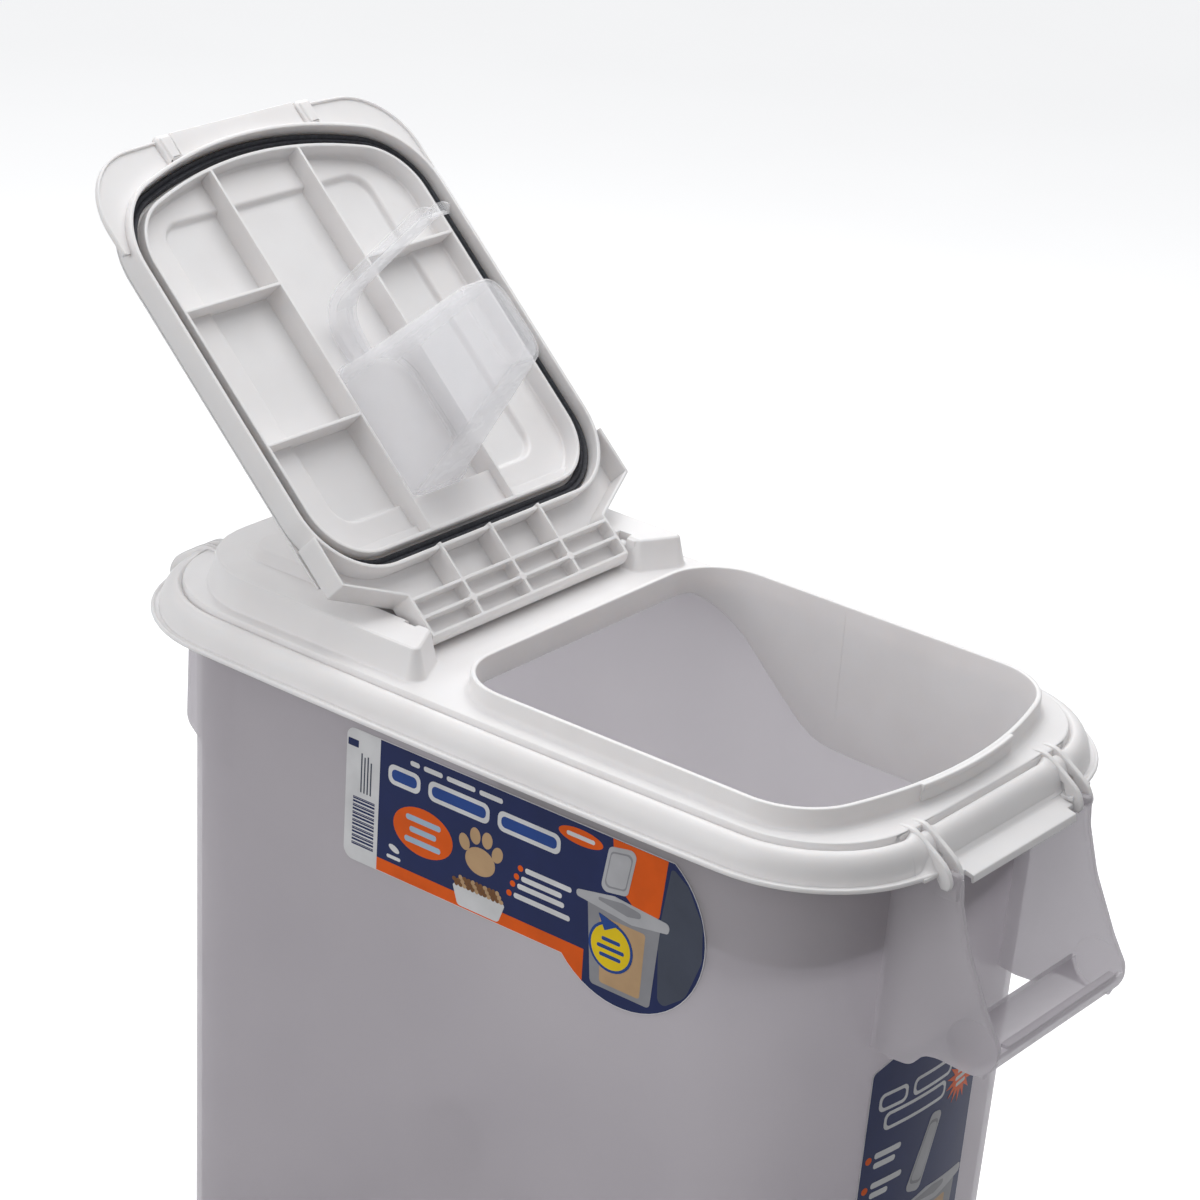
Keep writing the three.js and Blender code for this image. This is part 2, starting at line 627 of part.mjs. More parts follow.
node(bin, "tub", tub(), CLOUDY);
node(bin, "side_label", sideLabel(), PRINT);
node(bin, "front_label", frontLabel(), PRINT);
node(bin, "axle", barX(AXLE.radius, -AXLE.half, AXLE.half, AXLE.y, AXLE.z, 24), STEEL);
for (const [name, side] of [["left", -1], ["right", 1]]) {
  node(bin, `wheel_${name}`, wheel(side), BLACK);
  node(bin, `axle_cap_${name}`, axleCap(side), STEEL);
}
node(lid, "lid_frame", lidFrame(), WHITE);
node(lid, "lid_gasket", lidGasket(), RUBBER);
node(doorClosed, "flip_door", flipDoor(), WHITE);
node(doorClosed, "door_gasket", doorGasket(), RUBBER);
node(doorClosed, "scoop", scoop(), CLEAR);

export default bin;
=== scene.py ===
"""A wheeled pet food bin with its flip door open and the scoop stowed in the door, on a pale floor.

Sizes are in millimetres until a mesh is placed, and in metres from then on. Heights of the lid, and of what
hangs from it, are given from the underside of the lid's brim. The door is drawn shut and then turned open.
"""
from math import asin, atan, cos, pi, radians, sin, sqrt, tan

import bmesh
import bpy
from mathutils import Matrix, Vector


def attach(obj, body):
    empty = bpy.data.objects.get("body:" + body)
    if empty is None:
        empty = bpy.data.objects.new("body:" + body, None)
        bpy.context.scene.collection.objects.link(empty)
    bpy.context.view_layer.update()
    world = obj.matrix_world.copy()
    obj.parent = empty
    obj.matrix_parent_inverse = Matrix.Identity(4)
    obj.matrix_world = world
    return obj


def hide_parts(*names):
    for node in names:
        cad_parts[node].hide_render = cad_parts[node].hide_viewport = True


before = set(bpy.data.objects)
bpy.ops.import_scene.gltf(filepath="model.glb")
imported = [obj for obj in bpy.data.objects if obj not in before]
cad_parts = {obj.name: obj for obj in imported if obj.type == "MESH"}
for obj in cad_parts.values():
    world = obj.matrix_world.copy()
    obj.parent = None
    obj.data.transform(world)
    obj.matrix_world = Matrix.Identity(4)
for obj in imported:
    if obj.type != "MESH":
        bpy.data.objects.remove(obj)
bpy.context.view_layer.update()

MM = 0.001
BRIM_Z = 472.5  # height of the lid's brim over the floor
OPEN_DEG = 136.9  # how far the door is open
HINGE_Y, HINGE_Z = 71.3, 32.4  # the hinge axis, its height from the brim
AXLE_Y, AXLE_Z = 188, 26  # the wheels' axle, its height from the floor
ALL = 200  # past both sides of the part
ARC = 14  # steps in a quarter turn
SIDE = 24  # steps along a straight side


# ---------------------------------------------------------------- outlines seen along one axis
def arc_points(u, v, r, a0, a1, steps):
    """Points on an arc from angle a0 to a1, with both ends."""
    turns = [a0 + (a1 - a0) * k / steps for k in range(steps + 1)]
    return [Vector((u + r * cos(a), v + r * sin(a))) for a in turns]


def bow_ends(half, front, rf, bow):
    """Where a bulging front edge meets the corners: its slope, its end, and its depth from that end."""
    cx, cy = half - rf, front + rf
    lean = 0.0
    if bow:
        for _ in range(20):
            lean = atan(2 * (bow + rf * (1 - cos(lean))) / (cx + rf * sin(lean)))
    x_end, y_end = cx + rf * sin(lean), cy - rf * cos(lean)
    return lean, x_end, y_end, y_end - (front - bow)


def outline(half, front, rear, rf, rr, bow=0.0, waist=0.0, arc=ARC, side=SIDE):
    """A rounded rectangle. The front edge bulges by bow, and the long sides narrow by waist at the ends."""
    cx, cy = half - rf, front + rf
    lean, x_end, y_end, depth = bow_ends(half, front, rf, bow)
    points = []

    def corner(x, y, r, a0, a1):
        points.extend(arc_points(x, y, r, a0, a1, arc))

    def straight(end):
        start = points[-1].copy()
        for k in range(1, side):
            points.append(start.lerp(end, k / side))

    corner(cx, cy, rf, lean - pi / 2, 0)
    straight(Vector((half, rear - rr)))
    corner(half - rr, rear - rr, rr, 0, pi / 2)
    straight(Vector((-half + rr, rear)))
    corner(-half + rr, rear - rr, rr, pi / 2, pi)
    straight(Vector((-half, cy)))
    corner(-cx, cy, rf, pi, 1.5 * pi - lean)
    for k in range(1, side):
        x = -x_end + 2 * x_end * k / side
        points.append(Vector((x, y_end - depth * (1 - (x / x_end) ** 2))))
    middle, reach = (front + rear) / 2, (rear - front) / 2
    for p in points:
        p.x *= 1 - waist / half * ((p.y - middle) / reach) ** 2
    return points


def turn_corner(before, p, after, r, arc):
    """The arc of radius r that rounds off the corner p."""
    a, b = (before - p).normalized(), (after - p).normalized()
    half = a.angle(b) / 2
    centre = p + (a + b).normalized() * (r / sin(half))
    start, end = p + a * (r / tan(half)) - centre, p + b * (r / tan(half)) - centre
    turn = start.angle(end)
    steps = [k / arc for k in range(arc + 1)]
    return [centre + (start * sin((1 - t) * turn) + end * sin(t * turn)) / sin(turn) for t in steps]


def rounded(corners, arc=8):
    """A closed outline from corner points (u, v, radius), turning either way."""
    spots = [Vector(corner[:2]) for corner in corners]
    points = []
    for i, p in enumerate(spots):
        after = spots[(i + 1) % len(spots)]
        r = corners[i][2]
        points += turn_corner(spots[i - 1], p, after, r, arc) if r > 0 else [p]
    return points


def smooth(points, steps):
    """A Catmull-Rom curve through a few points."""
    knots = [Vector(p) for p in points]
    knots = [knots[0]] + knots + [knots[-1]]
    curve = []
    for p0, p1, p2, p3 in zip(knots, knots[1:], knots[2:], knots[3:]):
        for k in range(steps):
            t = k / steps
            linear, square, cubic = p2 - p0, 2 * p0 - 5 * p1 + 4 * p2 - p3, 3 * p1 - p0 - 3 * p2 + p3
            curve.append(0.5 * (2 * p1 + linear * t + square * t * t + cubic * t ** 3))
    return curve + [knots[-1]]


def inset(points, by):
    """The outline moved inwards; it runs counter-clockwise."""
    moved = []
    for i, p in enumerate(points):
        e0 = (p - points[i - 1]).normalized()
        e1 = (points[(i + 1) % len(points)] - p).normalized()
        n0, n1 = Vector((-e0.y, e0.x)), Vector((-e1.y, e1.x))
        moved.append(p + (n0 + n1) * (by / max(1 + n0.dot(n1), 0.35)))
    return moved


def circle(u, v, r, steps=32):
    return arc_points(u, v, r, 0, 2 * pi, steps)[:-1]


# ---------------------------------------------------------------- solids
def along(axis, p, w):
    """Places an outline's point p at height w along an axis."""
    return {"z": (p.x, p.y, w), "x": (w, p.x, p.y), "y": (p.x, w, p.y)}[axis]


def as_object(mesh):
    """Puts a mesh in the scene as an object."""
    made = bpy.data.objects.new(mesh.name, mesh)
    bpy.context.scene.collection.objects.link(made)
    return made


def solid(rings, closed=False):
    """A closed mesh through rings of equal length, with flat ends or joined end to end."""
    count = len(rings[0])
    verts = [v for ring in rings for v in ring]
    faces = []
    spans = len(rings) if closed else len(rings) - 1
    for i in range(spans):
        a, b = i * count, (i + 1) % len(rings) * count
        for j in range(count):
            k = (j + 1) % count
            faces.append((a + j, a + k, b + k, b + j))
    if not closed:
        faces.append(tuple(reversed(range(count))))
        faces.append(tuple(range((len(rings) - 1) * count, len(rings) * count)))
    mesh = bpy.data.meshes.new("solid")
    mesh.from_pydata(verts, [], faces)
    shape = bmesh.new()
    shape.from_mesh(mesh)
    bmesh.ops.recalc_face_normals(shape, faces=shape.faces)
    shape.to_mesh(mesh)
    shape.free()
    return as_object(mesh)


def loft(points, profile, axis="z"):
    """A solid through insets of an outline: profile is (inset, height) from one end to the other."""
    return solid([[along(axis, p, h) for p in inset(points, d)] for d, h in profile])


def sleeve(points, profile, axis="z"):
    """A ring whose section is the closed profile of (inset, height)."""
    return solid([[along(axis, p, h) for p in inset(points, d)] for d, h in profile], closed=True)


def plate(points, low, high, axis="z", edge=0.4):
    """A flat plate with its edges rounded over."""
    e, chamfer = edge, 0.3 * edge
    foot = [(e, low), (chamfer, low + chamfer), (0, low + e)]
    head = [(0, high - e), (chamfer, high - chamfer), (e, high)]
    return loft(points, foot + head, axis)


def bar(x0, x1, y0, y1, z0, z1, edge=0.4, axis="z"):
    """A block whose edges are rounded over."""
    xs, ys, zs = (x0, x1), (y0, y1), (z0, z1)
    (u0, u1), (v0, v1), (w0, w1) = {"z": (xs, ys, zs), "x": (ys, zs, xs), "y": (xs, zs, ys)}[axis]
    r = min(edge, 0.45 * min(u1 - u0, v1 - v0, w1 - w0))
    return plate(rounded([(u0, v0, r), (u1, v0, r), (u1, v1, r), (u0, v1, r)], 3), w0, w1, axis, r)


def rod(radius, x0, x1, y, z, steps=48, edge=0.4):
    return plate(circle(y, z, radius, steps), x0, x1, "x", edge)


def tube(path, radius, steps=12):
    """A round bead along a path of points."""
    turns = [2 * pi * k / steps for k in range(steps)]
    rings = []
    for i, p in enumerate(path):
        ahead = (path[min(i + 1, len(path) - 1)] - path[max(i - 1, 0)]).normalized()
        u = ahead.cross(Vector((1, 0, 0))).normalized()
        v = ahead.cross(u)
        rings.append([p + radius * (u * cos(a) + v * sin(a)) for a in turns])
    return solid(rings)


def move(shape, change):
    """Moves every vertex by a function of its place."""
    for v in shape.data.vertices:
        v.co = change(v.co)
    return shape


def mirrored(shapes):
    """The shapes and their mirror images in the plane x = 0."""
    made = list(shapes)
    for shape in shapes:
        twin = as_object(shape.data.copy())
        twin.data.transform(Matrix.Scale(-1, 4, (1, 0, 0)))
        twin.data.flip_normals()
        made.append(twin)
    return made


def combine(base, tools, operation):
    """Joins, cuts or intersects a shape with tools, which are used up."""
    for tool in tools:
        step = base.modifiers.new("combine", "BOOLEAN")
        step.operation = operation
        step.solver = "MANIFOLD"
        step.object = tool
    view = bpy.context.evaluated_depsgraph_get()
    mesh = bpy.data.meshes.new_from_object(base.evaluated_get(view))
    base.modifiers.clear()
    base.data = mesh
    for tool in tools:
        bpy.data.objects.remove(tool)
    return base


def join(first, *others):
    return combine(first, others, "UNION")


def cut(base, *tools):
    return combine(base, tools, "DIFFERENCE")


def keep(base, tool):
    return combine(base, [tool], "INTERSECT")


def between(shape, y0, y1, z0=20, z1=60, edge=0.01):
    """The part of a shape between two planes of y and two of z."""
    return keep(shape, bar(-ALL, ALL, y0, y1, z0, z1, edge))


def place(shape, name, material, node=None, body=None, turn=Matrix.Identity(4), lift=0.0, angle=32):
    """Gives a finished shape its name, its place in metres, its material and its body."""
    shape.data.transform(Matrix.Scale(MM, 4) @ turn @ Matrix.Translation((0, 0, lift)))
    shape.name = shape.data.name = name
    shape.data.materials.clear()
    shape.data.materials.append(material)
    tidy = bmesh.new()
    tidy.from_mesh(shape.data)
    bmesh.ops.remove_doubles(tidy, verts=tidy.verts, dist=2e-6)
    bmesh.ops.dissolve_degenerate(tidy, edges=tidy.edges, dist=2e-6)
    bmesh.ops.recalc_face_normals(tidy, faces=tidy.faces)
    for face in tidy.faces:
        face.smooth = True
    for edge in tidy.edges:
        edge.smooth = len(edge.link_faces) == 2 and edge.calc_face_angle(0) < radians(angle)
    tidy.to_mesh(shape.data)
    tidy.free()
    even = shape.modifiers.new("even normals", "WEIGHTED_NORMAL")
    even.keep_sharp = True
    if body:
        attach(shape, body)
    if node:
        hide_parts(node)
    return shape


# ---------------------------------------------------------------- materials
class Nodes:
    """A node tree with its principled shader, for short material functions."""

    def __init__(self, name, color, roughness, **sockets):
        self.material = bpy.data.materials.new(name)
        self.material.use_nodes = True
        self.tree = self.material.node_tree
        self.shader = self.tree.nodes["Principled BSDF"]
        self.shader.inputs["Base Color"].default_value = (*color, 1)
        self.shader.inputs["Roughness"].default_value = roughness
        for key, value in sockets.items():
            self.shader.inputs[key.replace("_", " ")].default_value = value
        self.place = self.add("ShaderNodeTexCoord").outputs["Object"]

    def add(self, kind, **values):
        node = self.tree.nodes.new(kind)
        for key, value in values.items():
            if hasattr(node, key):
                setattr(node, key, value)
            else:
                node.inputs[key.replace("_", " ")].default_value = value
        return node

    def link(self, out, into):
        self.tree.links.new(out, into)

    def noise(self, size, detail=3.0, rough=0.5, stretch=(1, 1, 1)):
        """Noise whose features are about size metres across."""
        mapping = self.add("ShaderNodeMapping", Scale=stretch)
        noise = self.add("ShaderNodeTexNoise", Scale=1 / size, Detail=detail, Roughness=rough)
        self.link(self.place, mapping.inputs["Vector"])
        self.link(mapping.outputs["Vector"], noise.inputs["Vector"])
        return noise.outputs["Fac"]

    def ramp(self, value, low, high, out_low=0.0, out_high=1.0):
        node = self.add("ShaderNodeMapRange", From_Min=low, From_Max=high, To_Min=out_low, To_Max=out_high)
        self.link(value, node.inputs["Value"])
        return node.outputs["Result"]

    def mix(self, factor, a, b):
        """Blends two colours, each a constant or a socket."""
        node = self.add("ShaderNodeMix", data_type="RGBA")
        for socket, value in zip([s for s in node.inputs if s.type == "RGBA"], (a, b)):
            if isinstance(value, tuple):
                socket.default_value = (*value, 1)
            else:
                self.link(value, socket)
        self.link(factor, node.inputs[0])
        return next(s for s in node.outputs if s.type == "RGBA")

    def tone(self, noise, low, high, a, b):
        """Colours the surface from a to b where the noise runs from low to high."""
        made = self.mix(self.ramp(noise, low, high), a, b)
        self.link(made, self.shader.inputs["Base Color"])
        return made

    def roughness(self, noise, smoothest, roughest):
        wander = self.ramp(noise, 0.3, 0.7, smoothest, roughest)
        self.link(wander, self.shader.inputs["Roughness"])

    def blend(self, factor, a, b):
        """Mixes two shaders by a number or a socket."""
        node = self.add("ShaderNodeMixShader")
        if isinstance(factor, float):
            node.inputs["Fac"].default_value = factor
        else:
            self.link(factor, node.inputs["Fac"])
        self.link(a.outputs["BSDF" if "BSDF" in a.outputs else "Shader"], node.inputs[1])
        self.link(b.outputs["BSDF" if "BSDF" in b.outputs else "Shader"], node.inputs[2])
        return node

    def surface(self, node):
        self.link(node.outputs["Shader"], self.tree.nodes["Material Output"].inputs["Surface"])

    def bump(self, *layers, soften=0.0):
        """Stacks bump layers of (height, depth in metres), over a normal softened at the edges."""
        normal = None
        if soften:
            normal = self.add("ShaderNodeBevel", samples=4, Radius=soften).outputs["Normal"]
        for height, depth in layers:
            node = self.add("ShaderNodeBump", Strength=1.0, Distance=depth)
            self.link(height, node.inputs["Height"])
            if normal:
                self.link(normal, node.inputs["Normal"])
            normal = node.outputs["Normal"]
        self.link(normal, self.shader.inputs["Normal"])


def white_plastic():
    """Satin moulded polypropylene with a fine spark-eroded grain and faint flow marks."""
    n = Nodes("white_plastic", (0.80, 0.785, 0.78), 0.42, Subsurface_Weight=0.4, Subsurface_Scale=0.005)
    n.shader.inputs["Subsurface Radius"].default_value = (1.0, 0.9, 0.82)
    n.tone(n.noise(0.05), 0.35, 0.65, (0.785, 0.767, 0.764), (0.815, 0.799, 0.797))
    n.roughness(n.noise(0.02, 4), 0.36, 0.47)
    n.bump((n.noise(0.0006, 2), 0.00003), (n.noise(0.05, 1), 0.0003), soften=0.0006)
    return n.material


def cloudy_plastic():
    """Milky translucent polypropylene: light goes through the wall and shapes behind it show faintly."""
    n = Nodes("cloudy_plastic", (0.65, 0.63, 0.65), 0.34, IOR=1.49)
    tone = n.tone(n.noise(0.12, 2), 0.3, 0.7, (0.665, 0.642, 0.665), (0.705, 0.682, 0.70))
    n.roughness(n.noise(0.03, 3), 0.28, 0.4)
    n.bump((n.noise(0.0012, 2), 0.00002), (n.noise(0.08, 1, 0.5, (1, 1, 0.25)), 0.0005))
    through = n.add("ShaderNodeBsdfTranslucent")
    n.link(tone, through.inputs["Color"])
    clear = n.add("ShaderNodeBsdfTransparent")
    clear.inputs["Color"].default_value = (0.93, 0.92, 0.94, 1)
    glow = n.blend(0.5, n.shader, through)
    n.surface(n.blend(0.34, glow, clear))
    return n.material


def clear_plastic():
    """Frosted clear plastic of the scoop, denser where the eye meets a wall edge on."""
    n = Nodes("clear_plastic", (0.9, 0.9, 0.92), 0.24, IOR=1.49, Coat_Weight=0.2, Coat_Roughness=0.12)
    tone = n.tone(n.noise(0.03, 2), 0.3, 0.7, (0.92, 0.92, 0.93), (0.95, 0.95, 0.955))
    n.roughness(n.noise(0.012, 3), 0.2, 0.32)
    n.bump((n.noise(0.04, 1), 0.0002))
    clear = n.add("ShaderNodeBsdfTransparent")
    clear.inputs["Color"].default_value = (0.995, 0.995, 1, 1)
    through = n.add("ShaderNodeBsdfTranslucent")
    n.link(tone, through.inputs["Color"])
    milk = n.blend(0.4, n.shader, through)
    edge_on = n.add("ShaderNodeLayerWeight", Blend=0.35).outputs["Facing"]
    n.surface(n.blend(n.ramp(edge_on, 0.0, 0.9, 0.09, 0.62), clear, milk))
    return n.material


def foam_rubber():
    """Dark closed-cell foam with small pores."""
    n = Nodes("foam_rubber", (0.015, 0.017, 0.024), 0.62)
    n.tone(n.noise(0.002), 0.35, 0.7, (0.010, 0.011, 0.016), (0.03, 0.032, 0.042))
    n.bump((n.noise(0.0009, 3), 0.0002), (n.noise(0.012, 1), 0.0004))
    return n.material


def black_plastic():
    """Black wheel plastic with a little dust."""
    n = Nodes("black_plastic", (0.02, 0.02, 0.022), 0.45)
    n.tone(n.noise(0.008, 5, 0.65), 0.52, 0.75, (0.018, 0.018, 0.02), (0.075, 0.07, 0.065))
    n.roughness(n.noise(0.01, 4), 0.38, 0.6)
    n.bump((n.noise(0.0008, 2), 0.00005), soften=0.0005)
    return n.material


def steel():
    """Bright drawn steel, streaked along X."""
    n = Nodes("steel", (0.62, 0.62, 0.63), 0.28, Metallic=1.0)
    n.roughness(n.noise(0.0006, 3, 0.5, (0.04, 1, 1)), 0.2, 0.42)
    n.bump((n.noise(0.0004, 2, 0.5, (0.05, 1, 1)), 0.00002))
    return n.material


def ink(name, color):
    """Printed film: one ink with faint print grain under a satin varnish."""
    n = Nodes("ink_" + name, color, 0.42, Specular_IOR_Level=0.14)
    n.tone(n.noise(0.02, 3), 0.3, 0.7, color, tuple(0.85 * c for c in color))
    n.bump((n.noise(0.0015, 2), 0.00002), (n.noise(0.02, 1), 0.0001))
    return n.material


def floor_material():
    n = Nodes("pale_floor", (0.93, 0.93, 0.93), 0.7, Emission_Strength=0.35)
    n.shader.inputs["Emission Color"].default_value = (1, 1, 1, 1)
    n.tone(n.noise(0.4, 3), 0.3, 0.7, (0.92, 0.92, 0.92), (0.94, 0.94, 0.94))
    return n.material


WHITE = white_plastic()
CLOUDY = cloudy_plastic()
CLEAR = clear_plastic()
FOAM = foam_rubber()
BLACK = black_plastic()
STEEL = steel()
INK_COLOURS = {
    "white": (0.74, 0.74, 0.75),
    "navy": (0.009, 0.018, 0.085),
    "blue": (0.02, 0.065, 0.27),
    "sky": (0.42, 0.55, 0.68),
    "orange": (0.80, 0.115, 0.008),
    "yellow": (0.86, 0.62, 0.015),
    "tan": (0.55, 0.36, 0.2),
    "brown": (0.2, 0.09, 0.035),
    "pale": (0.5, 0.5, 0.52),
    "grey": (0.3, 0.3, 0.32),
    "slate": (0.06, 0.07, 0.1),
}
INKS = {name: ink(name, colour) for name, colour in INK_COLOURS.items()}

# ---------------------------------------------------------------- driving outlines (mm)
RIM = dict(half=156, front=-276.4, rear=276.4, rf=83, rr=87, waist=5)
LIP = dict(RIM, bow=10.2)
COLLAR = dict(half=122.2, front=-232, rear=22.2, rf=44, rr=37, bow=12.6)
SKIRT = dict(half=128.8, front=-238.6, rear=28.8, rf=50.6, rr=47, bow=12.6)
PLUG = dict(half=119.2, front=-229, rear=19.2, rf=41, rr=38, bow=12.6)
TUB = dict(half=138.4, front=-243, rear=239.3, rf=66, rr=66, bow=11)
TUB_TAPER = 0.956  # the floor's size, as a part of the rim's
TUB_WALL = 3.0
COLLAR_TOP = 33.4
DECK = 21.0  # height of the lid's deck


def quarter(reach, height, at, base, turn=1, steps=10):
    """Points (inset, height) up a quarter ellipse that starts `reach` outside the inset `at`."""
    points = []
    for k in range(steps + 1):
        a = turn * pi / 2 * k / steps
        points.append((at - reach * cos(a), base + height * sin(a)))
    return points


# ---------------------------------------------------------------- lid frame
def apron_edge(y):
    """Height of the inner skirt's lower edge: deep round the front, then slanting up to the deck."""
    rise = y + 62
    return min(-62.5 + 0.49 * (rise + sqrt(rise * rise + 144)), 17.6)


def collar():
    """The raised mouth and, in one piece with it, the skirt that hangs down inside the tub."""
    low = -100.0
    section = [
        (0, low), (0, 32.5), (-0.35, 33.1), (-1.0, COLLAR_TOP), (-2.3, COLLAR_TOP), (-2.95, 33.1),
        (-3.3, 32.5), (-3.4, 24.0), (-3.8, 22.6), (-4.8, 21.5), (-6.6, 20.9), (-6.6, 18.6),
        (-3.3, 18.4), (-3.3, low),
    ]
    ring = sleeve(outline(**COLLAR), section)

    def trim(v):
        return Vector((v.x, v.y, apron_edge(v.y))) if v.z <= low + 1 else v

    return move(ring, trim)


ROLL_TOP = 15.0  # how far in from the rim the roll is highest
ROLL_FOOT = 5.0  # where the roll starts
ROLL_HEIGHT = 17.0
GROOVE = 2.4  # how deep the groove behind the roll is
GROOVE_WIDTH = 3.2
STEP_AT = 18.8  # where the groove ends in the step up to the deck


def roll_height(d):
    """Height of the lid's edge at a distance d in from the rim: lip, roll, groove, step and deck."""
    if d < ROLL_FOOT:
        return 2.2
    if d < ROLL_TOP:
        return 1 + ROLL_HEIGHT * sqrt(1 - ((ROLL_TOP - d) / (ROLL_TOP - ROLL_FOOT)) ** 2)
    if d < STEP_AT:
        return 1 + ROLL_HEIGHT - GROOVE * ((d - ROLL_TOP) / GROOVE_WIDTH) ** 2
    return DECK


def deck_and_roll():
    lip = [
        (1.2, 0), (0.4, 0.25), (0, 1.0), (0, 2.0), (0.35, 2.7), (1.1, 3.0), (1.9, 2.7), (2.5, 2.1),
        (3.4, 1.9), (8, 1.9),
    ]
    bulge = [(ROLL_FOOT, 0.2)] + quarter(ROLL_TOP - ROLL_FOOT, ROLL_HEIGHT, ROLL_TOP, 1, steps=14)
    groove = [(d, roll_height(d)) for d in (15.8, 16.6, 17.2, 17.7, 18.1)]
    step = [(18.5, 16.0), (18.7, 17.0), (STEP_AT, 19.4), (19.2, 20.4), (20.3, DECK)]
    return join(loft(outline(**LIP), lip), loft(outline(**RIM), bulge + groove + step))


def platform_outline():
    corners = [
        (124.6, 43, 4), (124.6, 236, 60), (-124.6, 236, 60), (-124.6, 43, 4), (-96.5, 57.5, 3),
        (-95, 108, 6), (95, 108, 6), (96.5, 57.5, 3),
    ]
    return rounded(corners, 12)


def plateau_outline():
    return outline(92, 112, 206, 9, 15)


def platform():
    base = [(-7, 19.5), (-5.6, 20.9), (-4.2, 21.6), (-3.4, 23.2), (0, 38.4), (0.5, 39.7), (1.6, 40.5)]
    plateau = [(-7.2, 39.5), (-6.2, 40.6), (-5, 41.4), (-1.0, 45.0), (0, 45.7), (1.6, 46)]
    return join(loft(platform_outline(), base), loft(plateau_outline(), plateau))


def lid_hollow():
    """What is hollow under the roll, the deck and the platform."""
    roll = [(7.5, -3)] + quarter(12.5, 11.5, 20, 1)
    deck = [(21.5, 11.6), (21.8, 17.8), (22.6, 18.5)]
    return [
        loft(outline(**RIM), roll + deck),
        loft(platform_outline(), [(2.6, 9), (2.6, 37.4), (3.2, 38)]),
        loft(plateau_outline(), [(3.5, 30), (3.5, 42.9), (4.2, 43.5)]),
    ]


SADDLE_X = (60.7, 71.0)  # the two fins of a saddle
FIN = 1.95  # half a fin's thickness
FLARE = 12.0  # how far a fin's foot spreads along the roll
FLARE_RINGS = 12
DECK_END = 256  # the deck's edge, front and rear
DECK_INSET = 20.4  # the deck's edge, in from the rim


def crest(steps=5):
    """The top edge of a fin: (distance out from the deck's edge, height)."""
    points = [
        (-9, 20.4), (-4, 21.7), (2, 21.9), (7, 20.0), (14, 15.6), (21, 10.9), (26.5, 6.2), (29.8, 0.6),
        (30.3, -3.6), (28.4, -6.6),
    ]
    return smooth(points, steps)


def saddle_fin(x, end):
    """A thin fin over the roll, with a rounded nose outside the brim, at the front (-1) or rear (1)."""
    under = [Vector(p) for p in ((24.2, -6.5), (19.6, 0.5), (16.5, 8), (-9, 14))]
    points = [Vector((end * (DECK_END + p.x), p.y)) for p in crest() + under]
    return plate(points, x - FIN, x + FIN, "x", 1.5)


def fin_flare(x, way, end, reach):
    """The hollow curve by which the roll and the lip rise into a fin's side."""
    line = [p for p in crest(16) if 1 <= p.x <= reach]
    r = RIM["rf"] if end < 0 else RIM["rr"]
    narrow = 1 - RIM["waist"] / RIM["half"]
    rings = []
    for k in range(FLARE_RINGS + 1):
        t = k / FLARE_RINGS
        spread = (1 - t) ** 2.4
        across = x + way * FLARE * k / FLARE_RINGS
        bend = r - sqrt(r * r - max(across / narrow + r - RIM["half"], 0) ** 2)
        upper, lower = [], []
        for p in line:
            base = roll_height(DECK_INSET - p.x) - 0.15 - 0.25 * k / FLARE_RINGS
            fade = spread * min((reach - p.x) / 6, 1)
            y = end * (DECK_END + p.x - bend)
            upper.append((across, y, base + max(p.y - 0.8 - base, 0) * fade))
            lower.append((across, y, base - 2))
        rings.append(upper + lower[::-1])
    return solid(rings)


def saddles():
    """The pairs of fins on the right, with their flares and the bar between them."""
    inner, outer = SADDLE_X
    made = []
    for end in (-1, 1):
        made += [saddle_fin(x, end) for x in SADDLE_X]
        made.append(fin_flare(outer + 0.4, 1, end, 22))
        made.append(fin_flare(inner - 0.4, -1, end, 17 if end < 0 else 22))
        near, far = sorted((end * 252, end * 258.5))
        made.append(bar(inner, outer, near, far, 10, 20.7, 1.2))
    return made


def saddle_gaps():
    """The brim is open between two fins, where the tub's gusset comes up."""
    spans = [sorted((end * 271, end * 300)) for end in (-1, 1)]
    return [bar(62.2, 69.5, near, far, -10, 4.5, 0.3) for near, far in spans]


def ledge():
    """The finger tab between the front saddles, with a lip that hangs from its edge."""
    corners = [
        (-268, 5, 0), (-270.4, 4.6, 1), (-273.4, 0.4, 3), (-287.4, -3.0, 0.9), (-287.9, -7.6, 0.6),
        (-286.4, -7.9, 0.6), (-285.9, -5.2, 0.8), (-268, -1.8, 0),
    ]
    tab = plate(rounded(corners, 4), -58.5, 58.5, "x", 0.5)
    return cut(tab, *mirrored([bar(52, 60, -290, -281.5, -10, 2, 0.8)]))


def catch():
    """The thicker stretch of the collar that the door's front clips over."""
    section = [
        (-2.0, 23.2), (-2.0, 32.2), (-2.6, 33.1), (-3.4, COLLAR_TOP), (-4.9, COLLAR_TOP), (-5.4, 32.9),
        (-5.5, 31.0), (-5.1, 30.3), (-4.7, 29.8), (-4.7, 23.8), (-4.4, 23.2),
    ]
    return keep(sleeve(outline(**COLLAR), section), bar(-44.5, 44.5, -260, -220, 20, 36, 0.6))


def tower_bearing():
    """The block that carries the hinge pin, with an open notch for it."""
    return bar(95.4, 106, HINGE_Y - 11, HINGE_Y + 11, DECK - 1, 39.6, 0.8)


def hinge_notch():
    """The open notch in a tower for the door's hinge pin."""
    spots = [(-4.5, HINGE_Z), (4.5, HINGE_Z), (5.2, 60), (-5.2, 60)]
    slot = plate([Vector((HINGE_Y + y, z)) for y, z in spots], 94, 100.6, "x", 0.05)
    return [slot, rod(4.5, 94, 100.6, HINGE_Y, HINGE_Z, 40, 0.05)]


